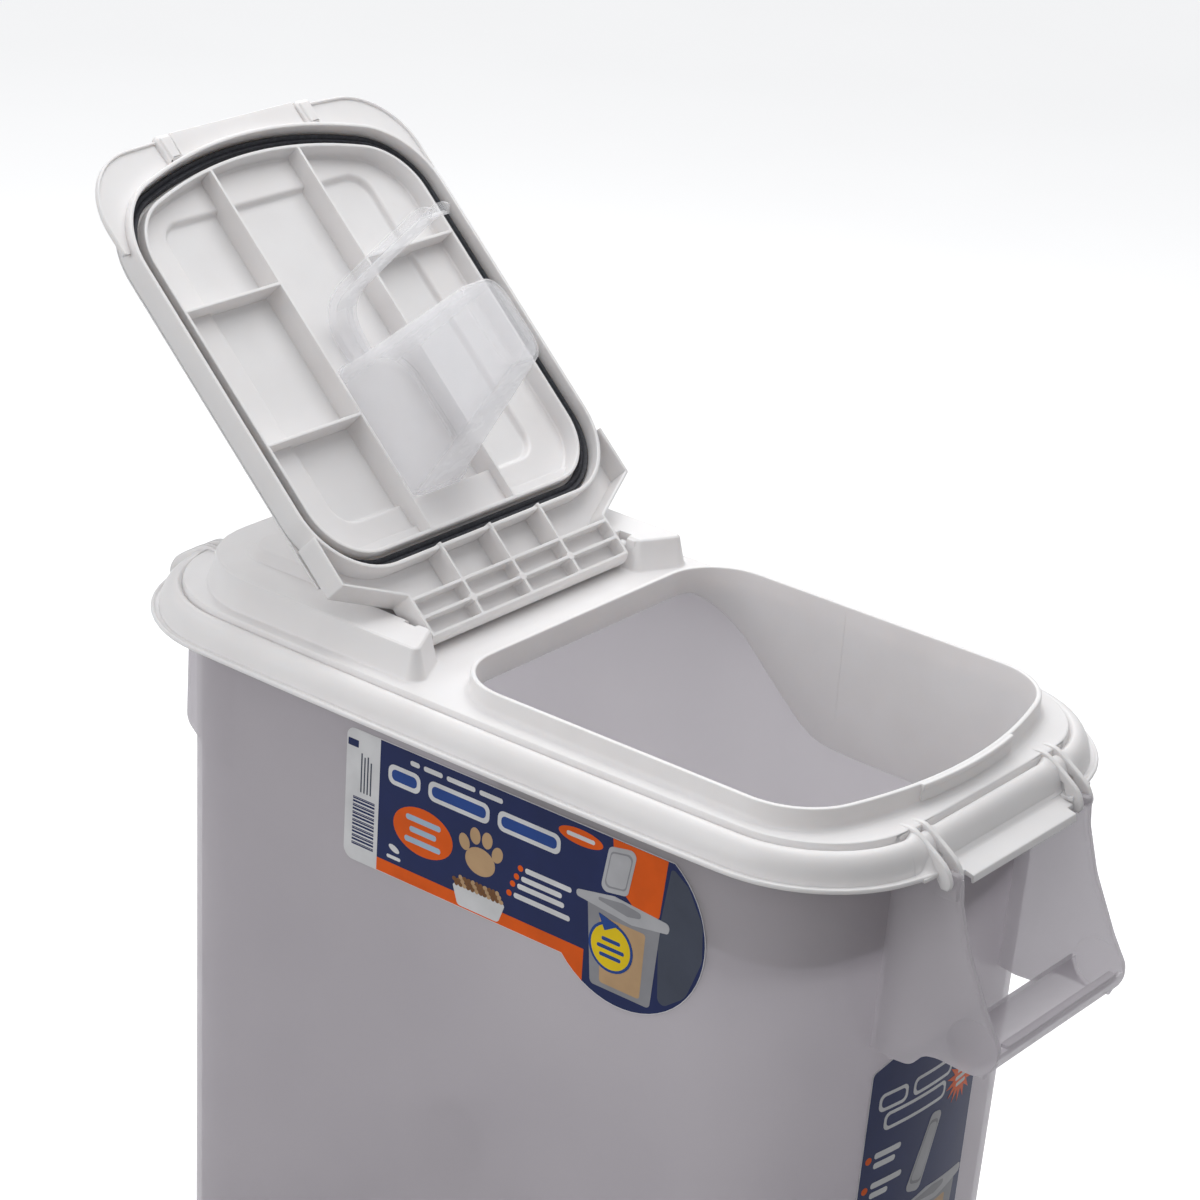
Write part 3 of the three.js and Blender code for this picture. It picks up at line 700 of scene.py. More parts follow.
def mould_seam():
    """A faint line down the inside of the skirt."""
    wall = COLLAR["half"]
    return bar(wall - 0.12, wall + 1.5, -79.4, -78.8, -40, 30, 0.05)


def lid_frame():
    shell = join(deck_and_roll(), platform())
    shell = cut(shell, *lid_hollow())
    mouth = loft(outline(**COLLAR), [(-1.5, -20), (-1.5, 60)])
    front_gap = bar(-57.3, 57.3, -300, -271.2, -10, 3.6, 0.3)
    shell = cut(shell, mouth, front_gap, *mirrored(saddle_gaps()))
    shell = join(shell, collar(), catch(), ledge(), mould_seam(), *mirrored(saddles() + [tower_bearing()]))
    return cut(shell, *mirrored(hinge_notch()))


# ---------------------------------------------------------------- flip door, drawn shut
DOOR_HALF = 131.5
BOX_HALF = 90.8  # half the width of the hinge box
CELL_RIM = 24.9  # lower edge of the hinge box
RIB = 1.1  # half a rib's thickness
RIB_X = 38  # where the two long ribs are
RIB_FOOT = 30.9  # lower edge of the ribs, with the door shut


def door_cover():
    """The outline of the whole door without its flange, counter-clockwise."""
    ring = inset(outline(**SKIRT), -2.7)
    n = len(ring)
    first = next(i for i in range(n) if ring[i].y < -100 <= ring[(i + 1) % n].y and ring[i].x > 0)
    last = next(i for i in range(n) if ring[i - 1].y >= -100 > ring[i].y and ring[i].x < 0)
    front = [ring[(last + k) % n] for k in range((first - last) % n + 1)]
    right = [(DOOR_HALF, 20, 0), (DOOR_HALF, 31, 1.5), (BOX_HALF, 51, 1.5), (BOX_HALF, HINGE_Y, 0)]
    left = [(-x, y, r) for x, y, r in reversed(right)]
    return front + rounded(right + left, 4)


def tray_outline():
    return outline(89, -215, -6.5, 15, 15, arc=8, side=8)


def door_top():
    """The door's outer skin: a border, a raised tray and the lower part behind it."""
    cover = door_cover()
    border = loft(cover, [(0, 41), (0, 43.6), (0.5, 44.5), (1.4, 45.1), (2.6, 45.4)])
    border = between(border, -300, 23, 42.9)
    rear = loft(cover, [(0, 40), (0, 40.6), (0.5, 41.6), (1.4, 42.2)])
    rear = between(rear, 10, HINGE_Y, 40)
    bridge = bar(-120, 120, 15, 26, 40, 44.6, 0.8)
    raised = [(-3.8, 44.6), (-3.2, 45.5), (-2.4, 46.2), (-0.4, 47.6), (0.4, 48.2), (1.4, 48.4)]
    hollow = [
        (-2.9, 42.0), (-2.7, 42.9), (-1.5, 43.0), (-0.7, 43.4), (-0.1, 44.2), (0.3, 45.3), (0.7, 46.3),
        (1.3, 46.9), (2.1, 47.1),
    ]
    tray = tray_outline()
    return cut(join(border, rear, bridge, loft(tray, raised)), loft(tray, hollow))


def door_rings():
    """The wall inside the mouth, the skirt outside it and the seat of the seal between them."""
    plug = [
        (0, 43.5), (0, 31.6), (0.3, 31.1), (0.9, 30.9), (1.7, 30.9), (2.3, 31.1), (2.5, 31.6),
        (2.7, 40.5), (3.2, 42), (4.6, 42.8), (4.6, 43.5),
    ]
    skirt = [
        (0, 42.5), (0, 27.0), (-0.3, 26.5), (-0.9, 26.3), (-1.8, 26.3), (-2.4, 26.5), (-2.7, 27.0),
        (-2.7, 42.5),
    ]
    seat = [(1.0, 39.4), (-10.5, 39.4), (-10.5, 43.2), (1.0, 43.2)]
    inner, outer = outline(**PLUG), outline(**SKIRT)
    return [sleeve(inner, plug), sleeve(outer, skirt), sleeve(inner, seat)]


def door_sides():
    """The straight walls beside the hinge box, with a pocket at each corner."""
    foot = [(0, CELL_RIM + 0.6), (0.5, CELL_RIM), (1.6, CELL_RIM), (2.1, CELL_RIM + 0.6)]
    wall = sleeve(door_cover(), [(0, 41.2), *foot, (2.3, 41.2)])
    return cut(between(wall, -1.5, 90), bar(-89, 89, 60, 90, 20, 41, 0.05))


def wedge(x, front_half, rear_half, front, rear, r, arc):
    """A tapered outline with a rounded front, centred on x."""
    ends = [(x - front_half, front, r), (x + front_half, front, r)]
    return rounded(ends + [(x + rear_half, rear, 1), (x - rear_half, rear, 1)], arc)


def door_flange():
    """The cover past the skirt at the tip: a hump at each front saddle and a finger lift between."""
    cover = outline(136, -262.5, 20, 46, 5, bow=2.2)
    band = loft(cover, [(0.7, 31.9), (0.2, 32.2), (0, 32.8), (0, 33.4), (0.3, 33.9), (1.0, 34.1)])
    band = between(band, -300, -200, edge=1.0)
    lift = bar(-53.5, 53.5, -266.5, -246, 29.9, 34.1, 1.0)
    humps = []
    for x in (-60.5, 60.5):
        crown = wedge(x, 7, 5.5, -266.2, -246, 3, 6)
        neck = wedge(x, 4.4, 3.6, -264, -248, 1.6, 5)
        humps.append(join(plate(crown, 28.6, 34.1, "z", 2.2), plate(neck, 27.0, 31, "z", 1.5)))
    ridge = [(-4.4, 32.6), (-4.4, 31.2), (-4.8, 30.8), (-5.4, 30.8), (-5.8, 31.2), (-5.8, 32.6)]
    humps.append(keep(sleeve(outline(**SKIRT), ridge), bar(-45, 45, -280, -240, 30, 33, 0.4)))
    rim = sleeve(cover, [(0, 33), (0, 30.9), (0.5, 30.3), (1.3, 30.3), (1.8, 30.9), (1.8, 33)])
    inside = loft(outline(**SKIRT), [(-2.0, 10), (-2.0, 60)])
    return cut(join(band, lift, between(rim, -300, -200), *humps), inside)


def door_ribs():
    floor = 47.8
    ribs = [bar(x - RIB, x + RIB, -240, 18, RIB_FOOT, floor, 0.5) for x in (-RIB_X, RIB_X)]
    for x0, x1, y in ((-118, -37.5, -156), (-118, -37.5, -63.5), (37.5, 118, -156)):
        ribs.append(bar(x0, x1, y - RIB, y + RIB, RIB_FOOT, floor, 0.5, "y"))
    ribs.append(bar(-37.5, 37.5, -5.5, 17, 37.2, floor, 0.8))
    inside = loft(outline(**PLUG), [(1.4, 20), (1.4, 44.5)])
    return [keep(join(*ribs), join(inside, loft(tray_outline(), [(0, 40), (0, floor)])))]


CELL_DEPTH = 9.5
CELL_WALLS = [-89.9, -45, 0, 45, 89.9]  # the walls between the cells
CELL_ROWS = [(54.7, 65.1), (66.9, 76.8)]  # the two rows of shallow cells


def hinge_box():
    """The open-celled box behind the skirt, with its barrel round the hinge axis."""
    top = 41.6
    body = join(
        rod(10.2, -BOX_HALF, BOX_HALF, HINGE_Y, HINGE_Z, 64, 0.6),
        bar(-BOX_HALF, BOX_HALF, 52.8, HINGE_Y, CELL_RIM, top, 0.4),
    )
    cells = [bar(-ALL, ALL, 30, 120, 0, CELL_RIM, 0.01)]
    for a, b in zip(CELL_WALLS, CELL_WALLS[1:]):
        for y0, y1 in CELL_ROWS:
            cells.append(bar(a + 1, b - 1, y0, y1, 10, CELL_RIM + CELL_DEPTH, 1.2))
    body = cut(body, *cells)
    left, *middle, right = CELL_WALLS
    columns = [bar(x - 0.95, x + 0.95, 28, 53.5, CELL_RIM, 40.5, 0.4, "x") for x in middle]
    ends = [bar(x - 0.9, x + 0.9, 50, 56, CELL_RIM, top, 0.4, "x") for x in (left, right)]
    posts = [plate(circle(x, 66, 2.7, 20), CELL_RIM - 0.3, top, "z", 0.5) for x in middle]
    pins = mirrored([rod(4, 89.5, 99.5, HINGE_Y, HINGE_Z, 40, 0.8)])
    return [body, *columns, *ends, *posts, *pins]


def ejector_marks():
    """Faint round marks left on the inner faces by the mould's ejector pins."""
    ridge = [(0, 42.88), (0.4, 42.84), (0.8, 42.88), (0.8, 43.4), (0, 43.4)]
    return [sleeve(circle(x, y, 6, 28), ridge) for x in (-104, 104) for y in (-190, -110, -30)]


def flip_door():
    edges = [*door_rings(), door_sides(), door_flange()]
    return join(door_top(), *edges, *door_ribs(), *hinge_box(), *ejector_marks())


# ---------------------------------------------------------------- seals
def door_gasket():
    section = [
        (0.9, 38.9), (0.7, 36.2), (1.2, 34.6), (2.2, 33.9), (3.2, 34.3), (4.2, 35.6), (5.2, 34.4),
        (6.3, 34.0), (7.2, 34.9), (7.6, 36.6), (7.5, 38.9),
    ]
    return sleeve(outline(**SKIRT), section)


def lid_gasket():
    section = [(1.4, 481.9), (1.3, 482.7), (1.8, 483.3), (3.2, 483.3), (3.8, 482.7), (3.7, 481.9)]
    return sleeve(outline(**TUB), section)


# ---------------------------------------------------------------- tub
def tub_scale(height):
    return TUB_TAPER + (1 - TUB_TAPER) * height / BRIM_Z


def tapered(profile):
    """A solid through insets of the tub's outline, drawn in with height as the tub is."""
    base = outline(**TUB)
    rings = []
    for d, h in profile:
        s = tub_scale(h)
        rings.append([(p.x, p.y, h) for p in inset([q * s for q in base], d)])
    return solid(rings)


def rear_step(grow=0.0):
    """What is taken out of the tub's lower rear edge to make room for the wheels."""
    y, z = 158 - grow, 56 + grow
    corners = [(y, -30, 0), (330, -30, 0), (330, z, 0), (y, z, 9 + grow)]
    return plate(rounded(corners), -ALL, ALL, "x", 0.05)


WING_X = 64.5  # the two wings at each end of the tub


def wing_corners():
    """The side view of a front wing (y, height from the brim)."""
    return [
        (-236, -1.2, 0), (-288.3, -1.2, 2), (-289.5, -14, 30), (-297.4, -40.6, 60), (-313.3, -73.3, 40),
        (-324.6, -92, 12), (-316, -110.5, 14), (-301.6, -110.4, 10), (-286.7, -109.3, 20),
        (-277.5, -111, 12), (-270, -120.6, 10), (-256, -121.4, 8), (-234, -118, 0),
    ]


def path_of(corners, arc=10):
    """An open path through corners, whose two ends stay sharp."""
    return rounded([(*corners[0][:2], 0), *corners[1:-1], (*corners[-1][:2], 0)], arc)


def inset_path(points, by):
    """An open path moved to its left by a distance."""
    moved = []
    for i, p in enumerate(points):
        ahead = (points[min(i + 1, len(points) - 1)] - points[max(i - 1, 0)]).normalized()
        moved.append(p + Vector((-ahead.y, ahead.x)) * by)
    return moved


def bead(path, x, way):
    """A round edge along a gusset, a little inside its outline."""
    return tube([Vector((x, p.x, p.y)) for p in inset_path(path, way * 1.5)], 2.0)


def wing(side, corners, arc, head_y, edge):
    """A thin gusset with a thicker head at the brim and a bead along its free edge."""
    x, head_x = side * WING_X, side * 65.85
    body = plate(rounded(corners, arc), x - 1.5, x + 1.5, "x", 0.4)
    head = bar(head_x - 3.1, head_x + 3.1, *head_y, -14, 2.6, 2.4, "x")
    return [body, head, bead(path_of(edge), x, 1)]


def front_wing(side):
    corners = wing_corners()
    return wing(side, corners[::-1], 10, (-288.4, -273.5), corners[1:7])


def grip():
    """A half pipe between the wings, open upwards, with a small lip along its front edge."""
    y, z, outer, inner = -307.3, -94, 16.5, 13.6
    start, end, steps = radians(176), radians(362), 28
    under = arc_points(y, z, outer, start, end, steps)
    pipe = plate(under + arc_points(y, z, inner, end, start, steps), -64, 64, "x", 0.1)
    lip = bar(-56, 56, y - outer + 0.2, y - outer + 5.4, z + 0.6, z + 3.0, 0.7, "x")
    disc = circle(y, z, outer - 0.3, 48)
    caps = [plate(disc, x - 1.9, x + 1.9, "x", 0.5) for x in (-WING_X, WING_X)]
    return [pipe, lip, *caps]


def rear_wing(side):
    corners = [(232, -1.2, 0), (232, -124, 0), (254, -122.5, 8), (277.6, -103, 12), (277.6, -1.2, 2)]
    return wing(side, corners, 8, (273.5, 280.5), corners[2:])


def lug(side):
    """One of the two lugs that hold the axle."""
    corners = [(174, 60, 0), (174, 30, 4), (180, 17.2, 8), (196, 17.2, 8), (202, 30, 4), (202, 60, 0)]
    return plate(rounded(corners), *sorted((side * 86, side * 94)), "x", 0.8)


def tub():
    """The container with its wings, grip, lugs and wheel bay; its profiles run up from the floor."""
    levels = range(40, 460, 40)
    wall = [(7, 0), (4.2, 0.5), (1.9, 1.9), (0.5, 4.4), (0, 8)]
    wall += [(0, h) for h in levels]
    wall += [(0, 476.5), (-0.6, 478), (-2.2, 478.6), (-4.2, 478.9), (-4.6, 479.6), (-4.6, 480.8)]
    wall += [(-4.0, 481.5), (5, 481.5)]
    outer = tapered(wall)
    inside = [(13, 3), (8, 3.6), (4.6, 6.2), (3.2, 10), (3, 14)]
    inside += [(3, h) for h in levels]
    inside += [(3, 476), (2.6, 480.6), (2.0, 482.5)]
    outer = cut(outer, rear_step())
    shapes = [s for side in (-1, 1) for s in front_wing(side) + rear_wing(side)] + grip()
    for shape in shapes:
        shape.data.transform(Matrix.Translation((0, 0, BRIM_Z)))
    outer = join(outer, lug(-1), lug(1), *shapes)
    void = cut(tapered(inside), rear_step(TUB_WALL))
    return cut(outer, void, rod(3.3, -ALL, ALL, AXLE_Y, AXLE_Z, 32, 0.05))


# ---------------------------------------------------------------- scoop
CUP_END, CUP_MOUTH = -67, 44  # heights of the cup's cap and of its mouth


def cup(by, low, high, rings=14):
    """The scoop's tapered cup; heights run from the cap down to the mouth."""
    unit = outline(1, -1, 1, 0.55, 0.55, arc=12, side=6)
    shapes = []
    for k in range(rings + 1):
        height = low + (high - low) * k / rings
        t = (height - CUP_END) / (CUP_MOUTH - CUP_END)
        half = 18.5 + 14.5 * t - by
        y0, y1 = -86 - 12 * t + by, -30 + 22 * t - by
        shapes.append([(p.x * half, y0 + (y1 - y0) * (p.y + 1) / 2, height) for p in unit])
    return shapes


def scoop():
    """A cup with a rounded cap, a thicker rim at its mouth and a handle."""
    wall, round_end = 1.8, CUP_END + 1.8
    caps = []
    for ring, by in zip(cup(0, CUP_END, round_end, 3), (2.2, 1.0, 0.3)):
        spots = [Vector(p) for p in ring]
        centre = sum(spots, Vector()) / len(spots)
        caps.append([p + (centre - p).normalized() * by for p in spots])
    body = solid(caps + cup(0, round_end, CUP_MOUTH))
    rim = solid(cup(-1.0, 40.5, CUP_MOUTH, 2))
    hollow = solid(cup(wall, CUP_END + wall, 46))
    return cut(join(body, rim, scoop_handle()), hollow)


def scoop_handle():
    """A U channel that leaves the mouth's edge, bends down beside the cup and ends in a hook."""
    spine = [
        (-93, 41), (-105, 41.4), (-117, 40.2), (-126, 36.5), (-132, 29), (-134.4, 18), (-134.6, 0),
        (-134.6, -30), (-134.4, -58), (-133.2, -67), (-130.5, -70.4),
    ]
    path = smooth(spine, 8)
    half, wall, depth = 9.0, 1.7, 7.0
    right = [(half, 0), (half, depth), (half - wall, depth), (half - wall, wall)]
    left = [(-u, v) for u, v in reversed(right)]
    section = [left[-1]] + right + left[:-1]
    rings = []
    last = len(path) - 1
    for i, p in enumerate(path):
        ahead = (path[min(i + 1, last)] - path[max(i - 1, 0)]).normalized()
        side = Vector((ahead.y, -ahead.x))
        thin = 0.7 + 0.3 * sin(pi / 2 * min(1, i / 20, (last - i) / 14 + 0.1))
        ring = []
        for u, v in section:
            at = p + side * (v * thin - 1.4)
            ring.append((u * (0.86 + 0.14 * thin), at.x, at.y))
        rings.append(ring)
    return solid(rings)


# ---------------------------------------------------------------- wheels and axle
def lathe(profile, x, y, z, steps=72):
    """Turns a closed profile (radius, place along the axle) about a line along X."""
    rings = []
    for k in range(steps):
        a = 2 * pi * k / steps
        rings.append([(x + w, y + r * cos(a), z + r * sin(a)) for r, w in profile])
    return solid(rings, closed=True)


def wheel(side):
    """A wheel with a grooved tread, a web and six short spokes; half profiles run to the outer face."""
    x, y, z = side * 104, AXLE_Y, AXLE_Z
    tread = [
        (25.3, 3.6), (26, 4.2), (26, 7), (25.4, 8.4), (24.2, 9), (22, 9), (20.5, 8.6), (20.2, 5), (19, 2),
    ]
    web = [(19.5, 1.6), (6, 1.6)]
    hub = [(8.2, 1), (7.8, 9.4), (7.2, 10), (3.9, 10), (3.4, 9.4)]
    halves = [half + [(r, -w) for r, w in reversed(half)] for half in (tread, web, hub)]
    body = join(*[lathe(profile, x, y, z) for profile in halves])
    spokes = []
    for k in range(6):
        blade = bar(x - 7.5, x + 7.5, 7, 20.6, -1.1, 1.1, 0.5, "x")
        blade.data.transform(Matrix.Translation((0, y, z)) @ Matrix.Rotation(radians(60 * k + 15), 4, "X"))
        spokes.append(blade)
    return join(body, *spokes)


def axle_cap(side):
    profile = [(3.25, 0), (6.4, 0), (6.9, 0.5), (7, 1.6), (6.3, 2.2), (5.6, 4.2), (4.8, 4.9), (3.25, 5)]
    made = lathe(profile, 0, 0, 0, 48)
    if side < 0:
        made.data.transform(Matrix.Scale(-1, 4, (1, 0, 0)))
        made.data.flip_normals()
    made.data.transform(Matrix.Translation((side * 114, AXLE_Y, AXLE_Z)))
    return made


# ---------------------------------------------------------------- printed labels
LABEL_GAP = 0.35  # between a label and the wall
FILM = 0.25  # thickness of a label's film
LAYER = 0.03  # height of one layer of ink
STRIP = 4.1  # width of the strips that follow the bowed wall
BULGE = dict(y=-123, z=-60, r=56)  # the round end of the side label


def on_side_wall(v):
    """Lays a flat drawing, given as (distance off the wall, y, height), on the tub's left wall."""
    return Vector((-TUB["half"] * tub_scale(BRIM_Z + v.z) - v.x, v.y, v.z))


def on_front_wall(v):
    """Lays a flat drawing, given as (x, distance off the wall, height), on the bowed front wall."""
    s = tub_scale(BRIM_Z + v.z)
    _, x_end, y_end, depth = bow_ends(TUB["half"], TUB["front"], TUB["rf"], TUB["bow"])
    return Vector((v.x, s * (y_end - depth * (1 - (v.x / s / x_end) ** 2)) - v.y, v.z))


def sheets(drawings, axis, lay):
    """One mesh of thin plates, each an (outline, low, high), laid on a wall in strips."""
    shape = bmesh.new()
    for points, low, high in drawings:
        rings = [[shape.verts.new(along(axis, p, w)) for p in points] for w in (low, high)]
        shape.faces.new(rings[0])
        shape.faces.new(rings[1])
        for k in range(len(points)):
            shape.faces.new((rings[0][k - 1], rings[0][k], rings[1][k], rings[1][k - 1]))
    strips = range(-15, 12) if axis == "y" else ()
    for k in strips:
        everything = shape.verts[:] + shape.edges[:] + shape.faces[:]
        bmesh.ops.bisect_plane(shape, geom=everything, plane_co=(STRIP * k, 0, 0), plane_no=(1, 0, 0))
    mesh = bpy.data.meshes.new("print")
    shape.to_mesh(mesh)
    shape.free()
    return move(as_object(mesh), lay)


def oval(u, v, ru, rv, tilt=0, steps=36):
    a = radians(tilt)
    ring = [(ru * cos(2 * pi * k / steps), rv * sin(2 * pi * k / steps)) for k in range(steps)]
    return [Vector((u + p * cos(a) - q * sin(a), v + p * sin(a) + q * cos(a))) for p, q in ring]


def block(u0, u1, v, height, r=None):
    """A bar with rounded ends, centred on v."""
    r = 0.45 * height if r is None else r
    low, high = v - height / 2, v + height / 2
    return rounded([(u0, low, r), (u1, low, r), (u1, high, r), (u0, high, r)], 5)


def rows(colour, layer, u, height, lines):
    """Bars centred on u that stand for lines of text, each a (width, v)."""
    return [(colour, layer, block(u - w / 2, u + w / 2, v, height)) for w, v in lines]


def framed(u0, u1, v, border, inside, step, colour):
    """A white bar with a coloured one set in by step; each is given as (height, radius)."""
    return [("white", 2, block(u0, u1, v, *border)), (colour, 3, block(u0 + step, u1 - step, v, *inside))]


def burst(u, v, outer, inner, points):
    star = []
    for k in range(2 * points):
        r = inner if k % 2 else outer
        star.append(Vector((u + r * cos(pi * k / points), v + r * sin(pi * k / points))))
    return star


def paw(u, v, size):
    """A paw print: one pad and four toes."""
    toes = [(-1.05, 0.75, 20), (-0.38, 1.3, 6), (0.38, 1.3, -6), (1.05, 0.75, -20)]
    pads = [oval(u + size * a, v + size * b, 0.33 * size, 0.45 * size, tilt) for a, b, tilt in toes]
    return pads + [oval(u, v, 0.95 * size, 0.75 * size)]


def bulge_arc(start, end, r, steps=30):
    """Part of the side label's round end, between two heights, through its lowest or farthest point."""
    a0 = asin((start - BULGE["z"]) / r)
    a1 = -pi - asin((end - BULGE["z"]) / r)
    return arc_points(BULGE["y"], BULGE["z"], r, a0, a1, steps)


def side_film():
    arc = bulge_arc(-98, -14, BULGE["r"])
    return rounded([(81, -14, 6), (81, -98, 7)] + [(p.x, p.y, 0) for p in arc])


def picture_of_bin(left, right, brim, foot, door):
    """A small drawing of a bin with its door up and a bag in it, in greys and tan."""
    wide, middle = right - left, (left + right) / 2

    def shape(*corners):
        return rounded([(start + part * wide, v, r) for start, part, v, r in corners])

    bin_side = shape(
        (left, 0.12, brim, 0), (left, 0.2, foot, 3), (right, -0.16, foot, 3), (right, -0.1, brim, 0),
    )
    bag = shape(
        (left, 0.26, brim - 9, 2), (left, 0.3, foot + 3, 2),
        (right, -0.27, foot + 3, 2), (right, -0.25, brim - 9, 2),
    )
    lid = shape(
        (left, 0, brim + 1, 2), (middle, -0.1, brim + 6, 3), (right, 0, brim + 3, 3),
        (right, -0.02, brim - 3, 2), (middle, 0.1, brim - 7, 4), (left, 0, brim - 3, 2),
    )
    mouth = shape(
        (left, 0.14, brim + 1, 1), (middle, 0, brim + 4, 2),
        (right, -0.16, brim + 1, 2), (middle, 0.05, brim - 3, 3),
    )
    drawing = [("grey", 3, bin_side), ("tan", 4, bag), ("pale", 5, lid), ("grey", 6, mouth)]
    drawing.append(("pale", 7, rounded([(*corner, 4) for corner in door])))
    centre = sum((Vector(c) for c in door), Vector((0, 0))) / 4
    for colour, layer, scale in (("grey", 8, 0.8), ("pale", 9, 0.72)):
        corners = [(*(centre + (Vector(c) - centre) * scale), 3) for c in door]
        drawing.append((colour, layer, rounded(corners)))
    return drawing


def side_print():
    """The side label's drawing as (ink, layer, outline), in y and height from the brim."""
    top, foot, rear, turn = -14.4, -97.6, 55.5, -97.3  # the blue field, and where its foot turns down
    arc = bulge_arc(foot, top, BULGE["r"] - 0.4)
    stripe = -89.4  # upper edge of the orange stripe
    art = [("navy", 1, [Vector((rear, top)), Vector((rear, foot))] + arc)]
    corner = [p for p in arc if p.y < -97 and p.x > turn]
    start = [Vector((rear, stripe)), Vector((rear, foot))]
    end = [Vector((turn, -109.6)), Vector((turn, stripe))]
    art.append(("orange", 2, start + corner + end))

    # the white end: lines of small print and a bar code
    art.append(("navy", 1, block(72, 80, -23.3, 4.6, 0.6)))
    for y, z in ((68.8, -28), (66.4, -30), (64, -29), (61.6, -32)):
        art.append(("slate", 2, block(y, y + 1.0, (z - 53) / 2, z + 53, 0.3)))
    line = -57.0
    for k in range(20):
        thick = 0.5 + 0.38 * (k * 7 % 3)
        art.append(("navy", 2, block(58.5, 75, line, thick, 0.05)))
        line -= thick + 0.45 + 0.3 * (k * 5 % 3)

    # bars for the words, a paw print and a bowl of food
    art += [("white", 2, block(a, b, -21, 3.1)) for a, b in ((26, 33), (9, 23), (-15, 6), (-35, -18))]
    for a, b in ((25, 49), (-26, 19), (-77, -32)):
        art += framed(a, b, -32.8, (12.6, 4.5), (7.0, 3), 2.6, "blue")
    art.append(("orange", 2, oval(21.7, -61.8, 22.3, 15)))
    art += rows("sky", 3, 21.7, 3.6, ((26, -55), (20, -62), (27, -69)))
    art += [("white", 2, oval(42.6, -79.6, 4.2, 2.0, 20)), ("white", 2, block(37.5, 48, -85.4, 2.2))]
    art += [("tan", 2, pad) for pad in paw(-21, -64, 11.5)]
    art += [("white", 3, rounded([(-1.5, -84, 1.5), (-40.5, -84, 1.5), (-36, -96.8, 3), (-6, -96.8, 3)]))]
    for k in range(34):
        row, place_in_row = divmod(k, 12)
        y = -37.5 + 3.0 * place_in_row + 1.5 * row
        art.append(("brown" if k % 3 else "tan", 4, oval(y, -83.4 + 2.2 * row, 1.7, 1.4, 40 * k, 12)))
    for y, z, end in ((-50, -57, -86.5), (-47.5, -63, -80), (-45, -68.4, -82), (-42.8, -75, -86.5)):
        art += [("orange", 2, oval(y, z, 1.9, 1.9)), ("white", 2, block(end, y - 3.4, z, 3.3))]

    # the round end: a plain oval, a drawing of a bin and a round badge
    art += [("orange", 2, oval(-90.6, -22.4, 15.6, 4.9, 0)), ("white", 3, block(-100.5, -80.7, -22.4, 2.6))]
    patch = [(-112.6, -14.6, 0), (-150.5, -14.6, 0), (-147, -52, 3), (-131, -52, 3), (-116, -40, 3)]
    round_end = [
        (-153, -17, 2), (-165, -25, 5), (-176, -44, 14), (-177.4, -66, 14), (-168, -92, 14),
        (-150, -106, 4), (-147, -60, 3),
    ]
    art += [("orange", 2, rounded(patch)), ("slate", 2, rounded(round_end))]
    art += picture_of_bin(-90, -155, -55, -108, [(-110.5, -20), (-130, -16.4), (-125, -46), (-106, -49)])
    art += [("blue", 10, oval(-115.9, -81, 15.4, 15.4)), ("yellow", 11, oval(-115.9, -81, 13.7, 13.7))]
    art.append(("blue", 12, rounded([(-106, -62.5, 0.4), (-121, -66, 0.4), (-111, -72, 0.4)])))
    art += rows("blue", 12, -115.9, 2.4, ((13, -77), (19, -82), (15, -87)))
    return art


def front_film():
    return rounded([(-61, -140, 4), (-45, -133.8, 5), (47, -133.8, 5), (47, -304, 5), (-61, -304, 5)])


def front_print():
    """The front label's drawing as (ink, layer, outline), in x and height from the brim."""
    art = [("navy", 1, inset(front_film()[::-1], 0.5))]
    for row, words in ((-162, ((-53, -29), (-24, 14))), (-176, ((-47, 10),))):
        for a, b in words:
            art += framed(a, b, row, (12, 4.2), (7.4, 3), 2.2, "navy")
    art.append(("orange", 4, burst(28, -176, 17, 9, 15)))
    art += rows("white", 5, 28, 2.6, ((10, -171.5), (14, -176), (11, -180.5)))
    for k in range(5):
        top = -197 - 20 * k
        art.append(("orange", 2, oval(-55.5, top - 1.5, 2.4, 2.4)))
        art.append(("white", 2, block(-51, -29 + 4 * (k % 2), top, 4)))
        art.append(("white", 2, block(-51, -33 - 3 * (k % 2), top - 6.6, 4)))
    art += picture_of_bin(-25, 46, -246, -299, [(-1, -188), (10, -190), (-5, -238), (-19, -234)])
    return art


def label(name, film, art, axis, lay):
    """A white film and, for each ink, one piece that holds all of its shapes."""
    face = LABEL_GAP + FILM
    paper = sheets([(film, LABEL_GAP, face)], axis, lay)
    place(paper, f"{name}_film", INKS["white"], name, "bin", lift=BRIM_Z)
    for colour in sorted({mark[0] for mark in art}):
        marks = [mark for mark in art if mark[0] == colour]
        shapes = [(points, face - 0.05, face + LAYER * layer) for _, layer, points in marks]
        place(sheets(shapes, axis, lay), f"{name}_{colour}", INKS[colour], name, "bin", lift=BRIM_Z)


# ---------------------------------------------------------------- build
DOOR_TURN = (
    Matrix.Translation((0, HINGE_Y, BRIM_Z + HINGE_Z))
    @ Matrix.Rotation(radians(-OPEN_DEG), 4, "X")
    @ Matrix.Translation((0, -HINGE_Y, -BRIM_Z - HINGE_Z))
)

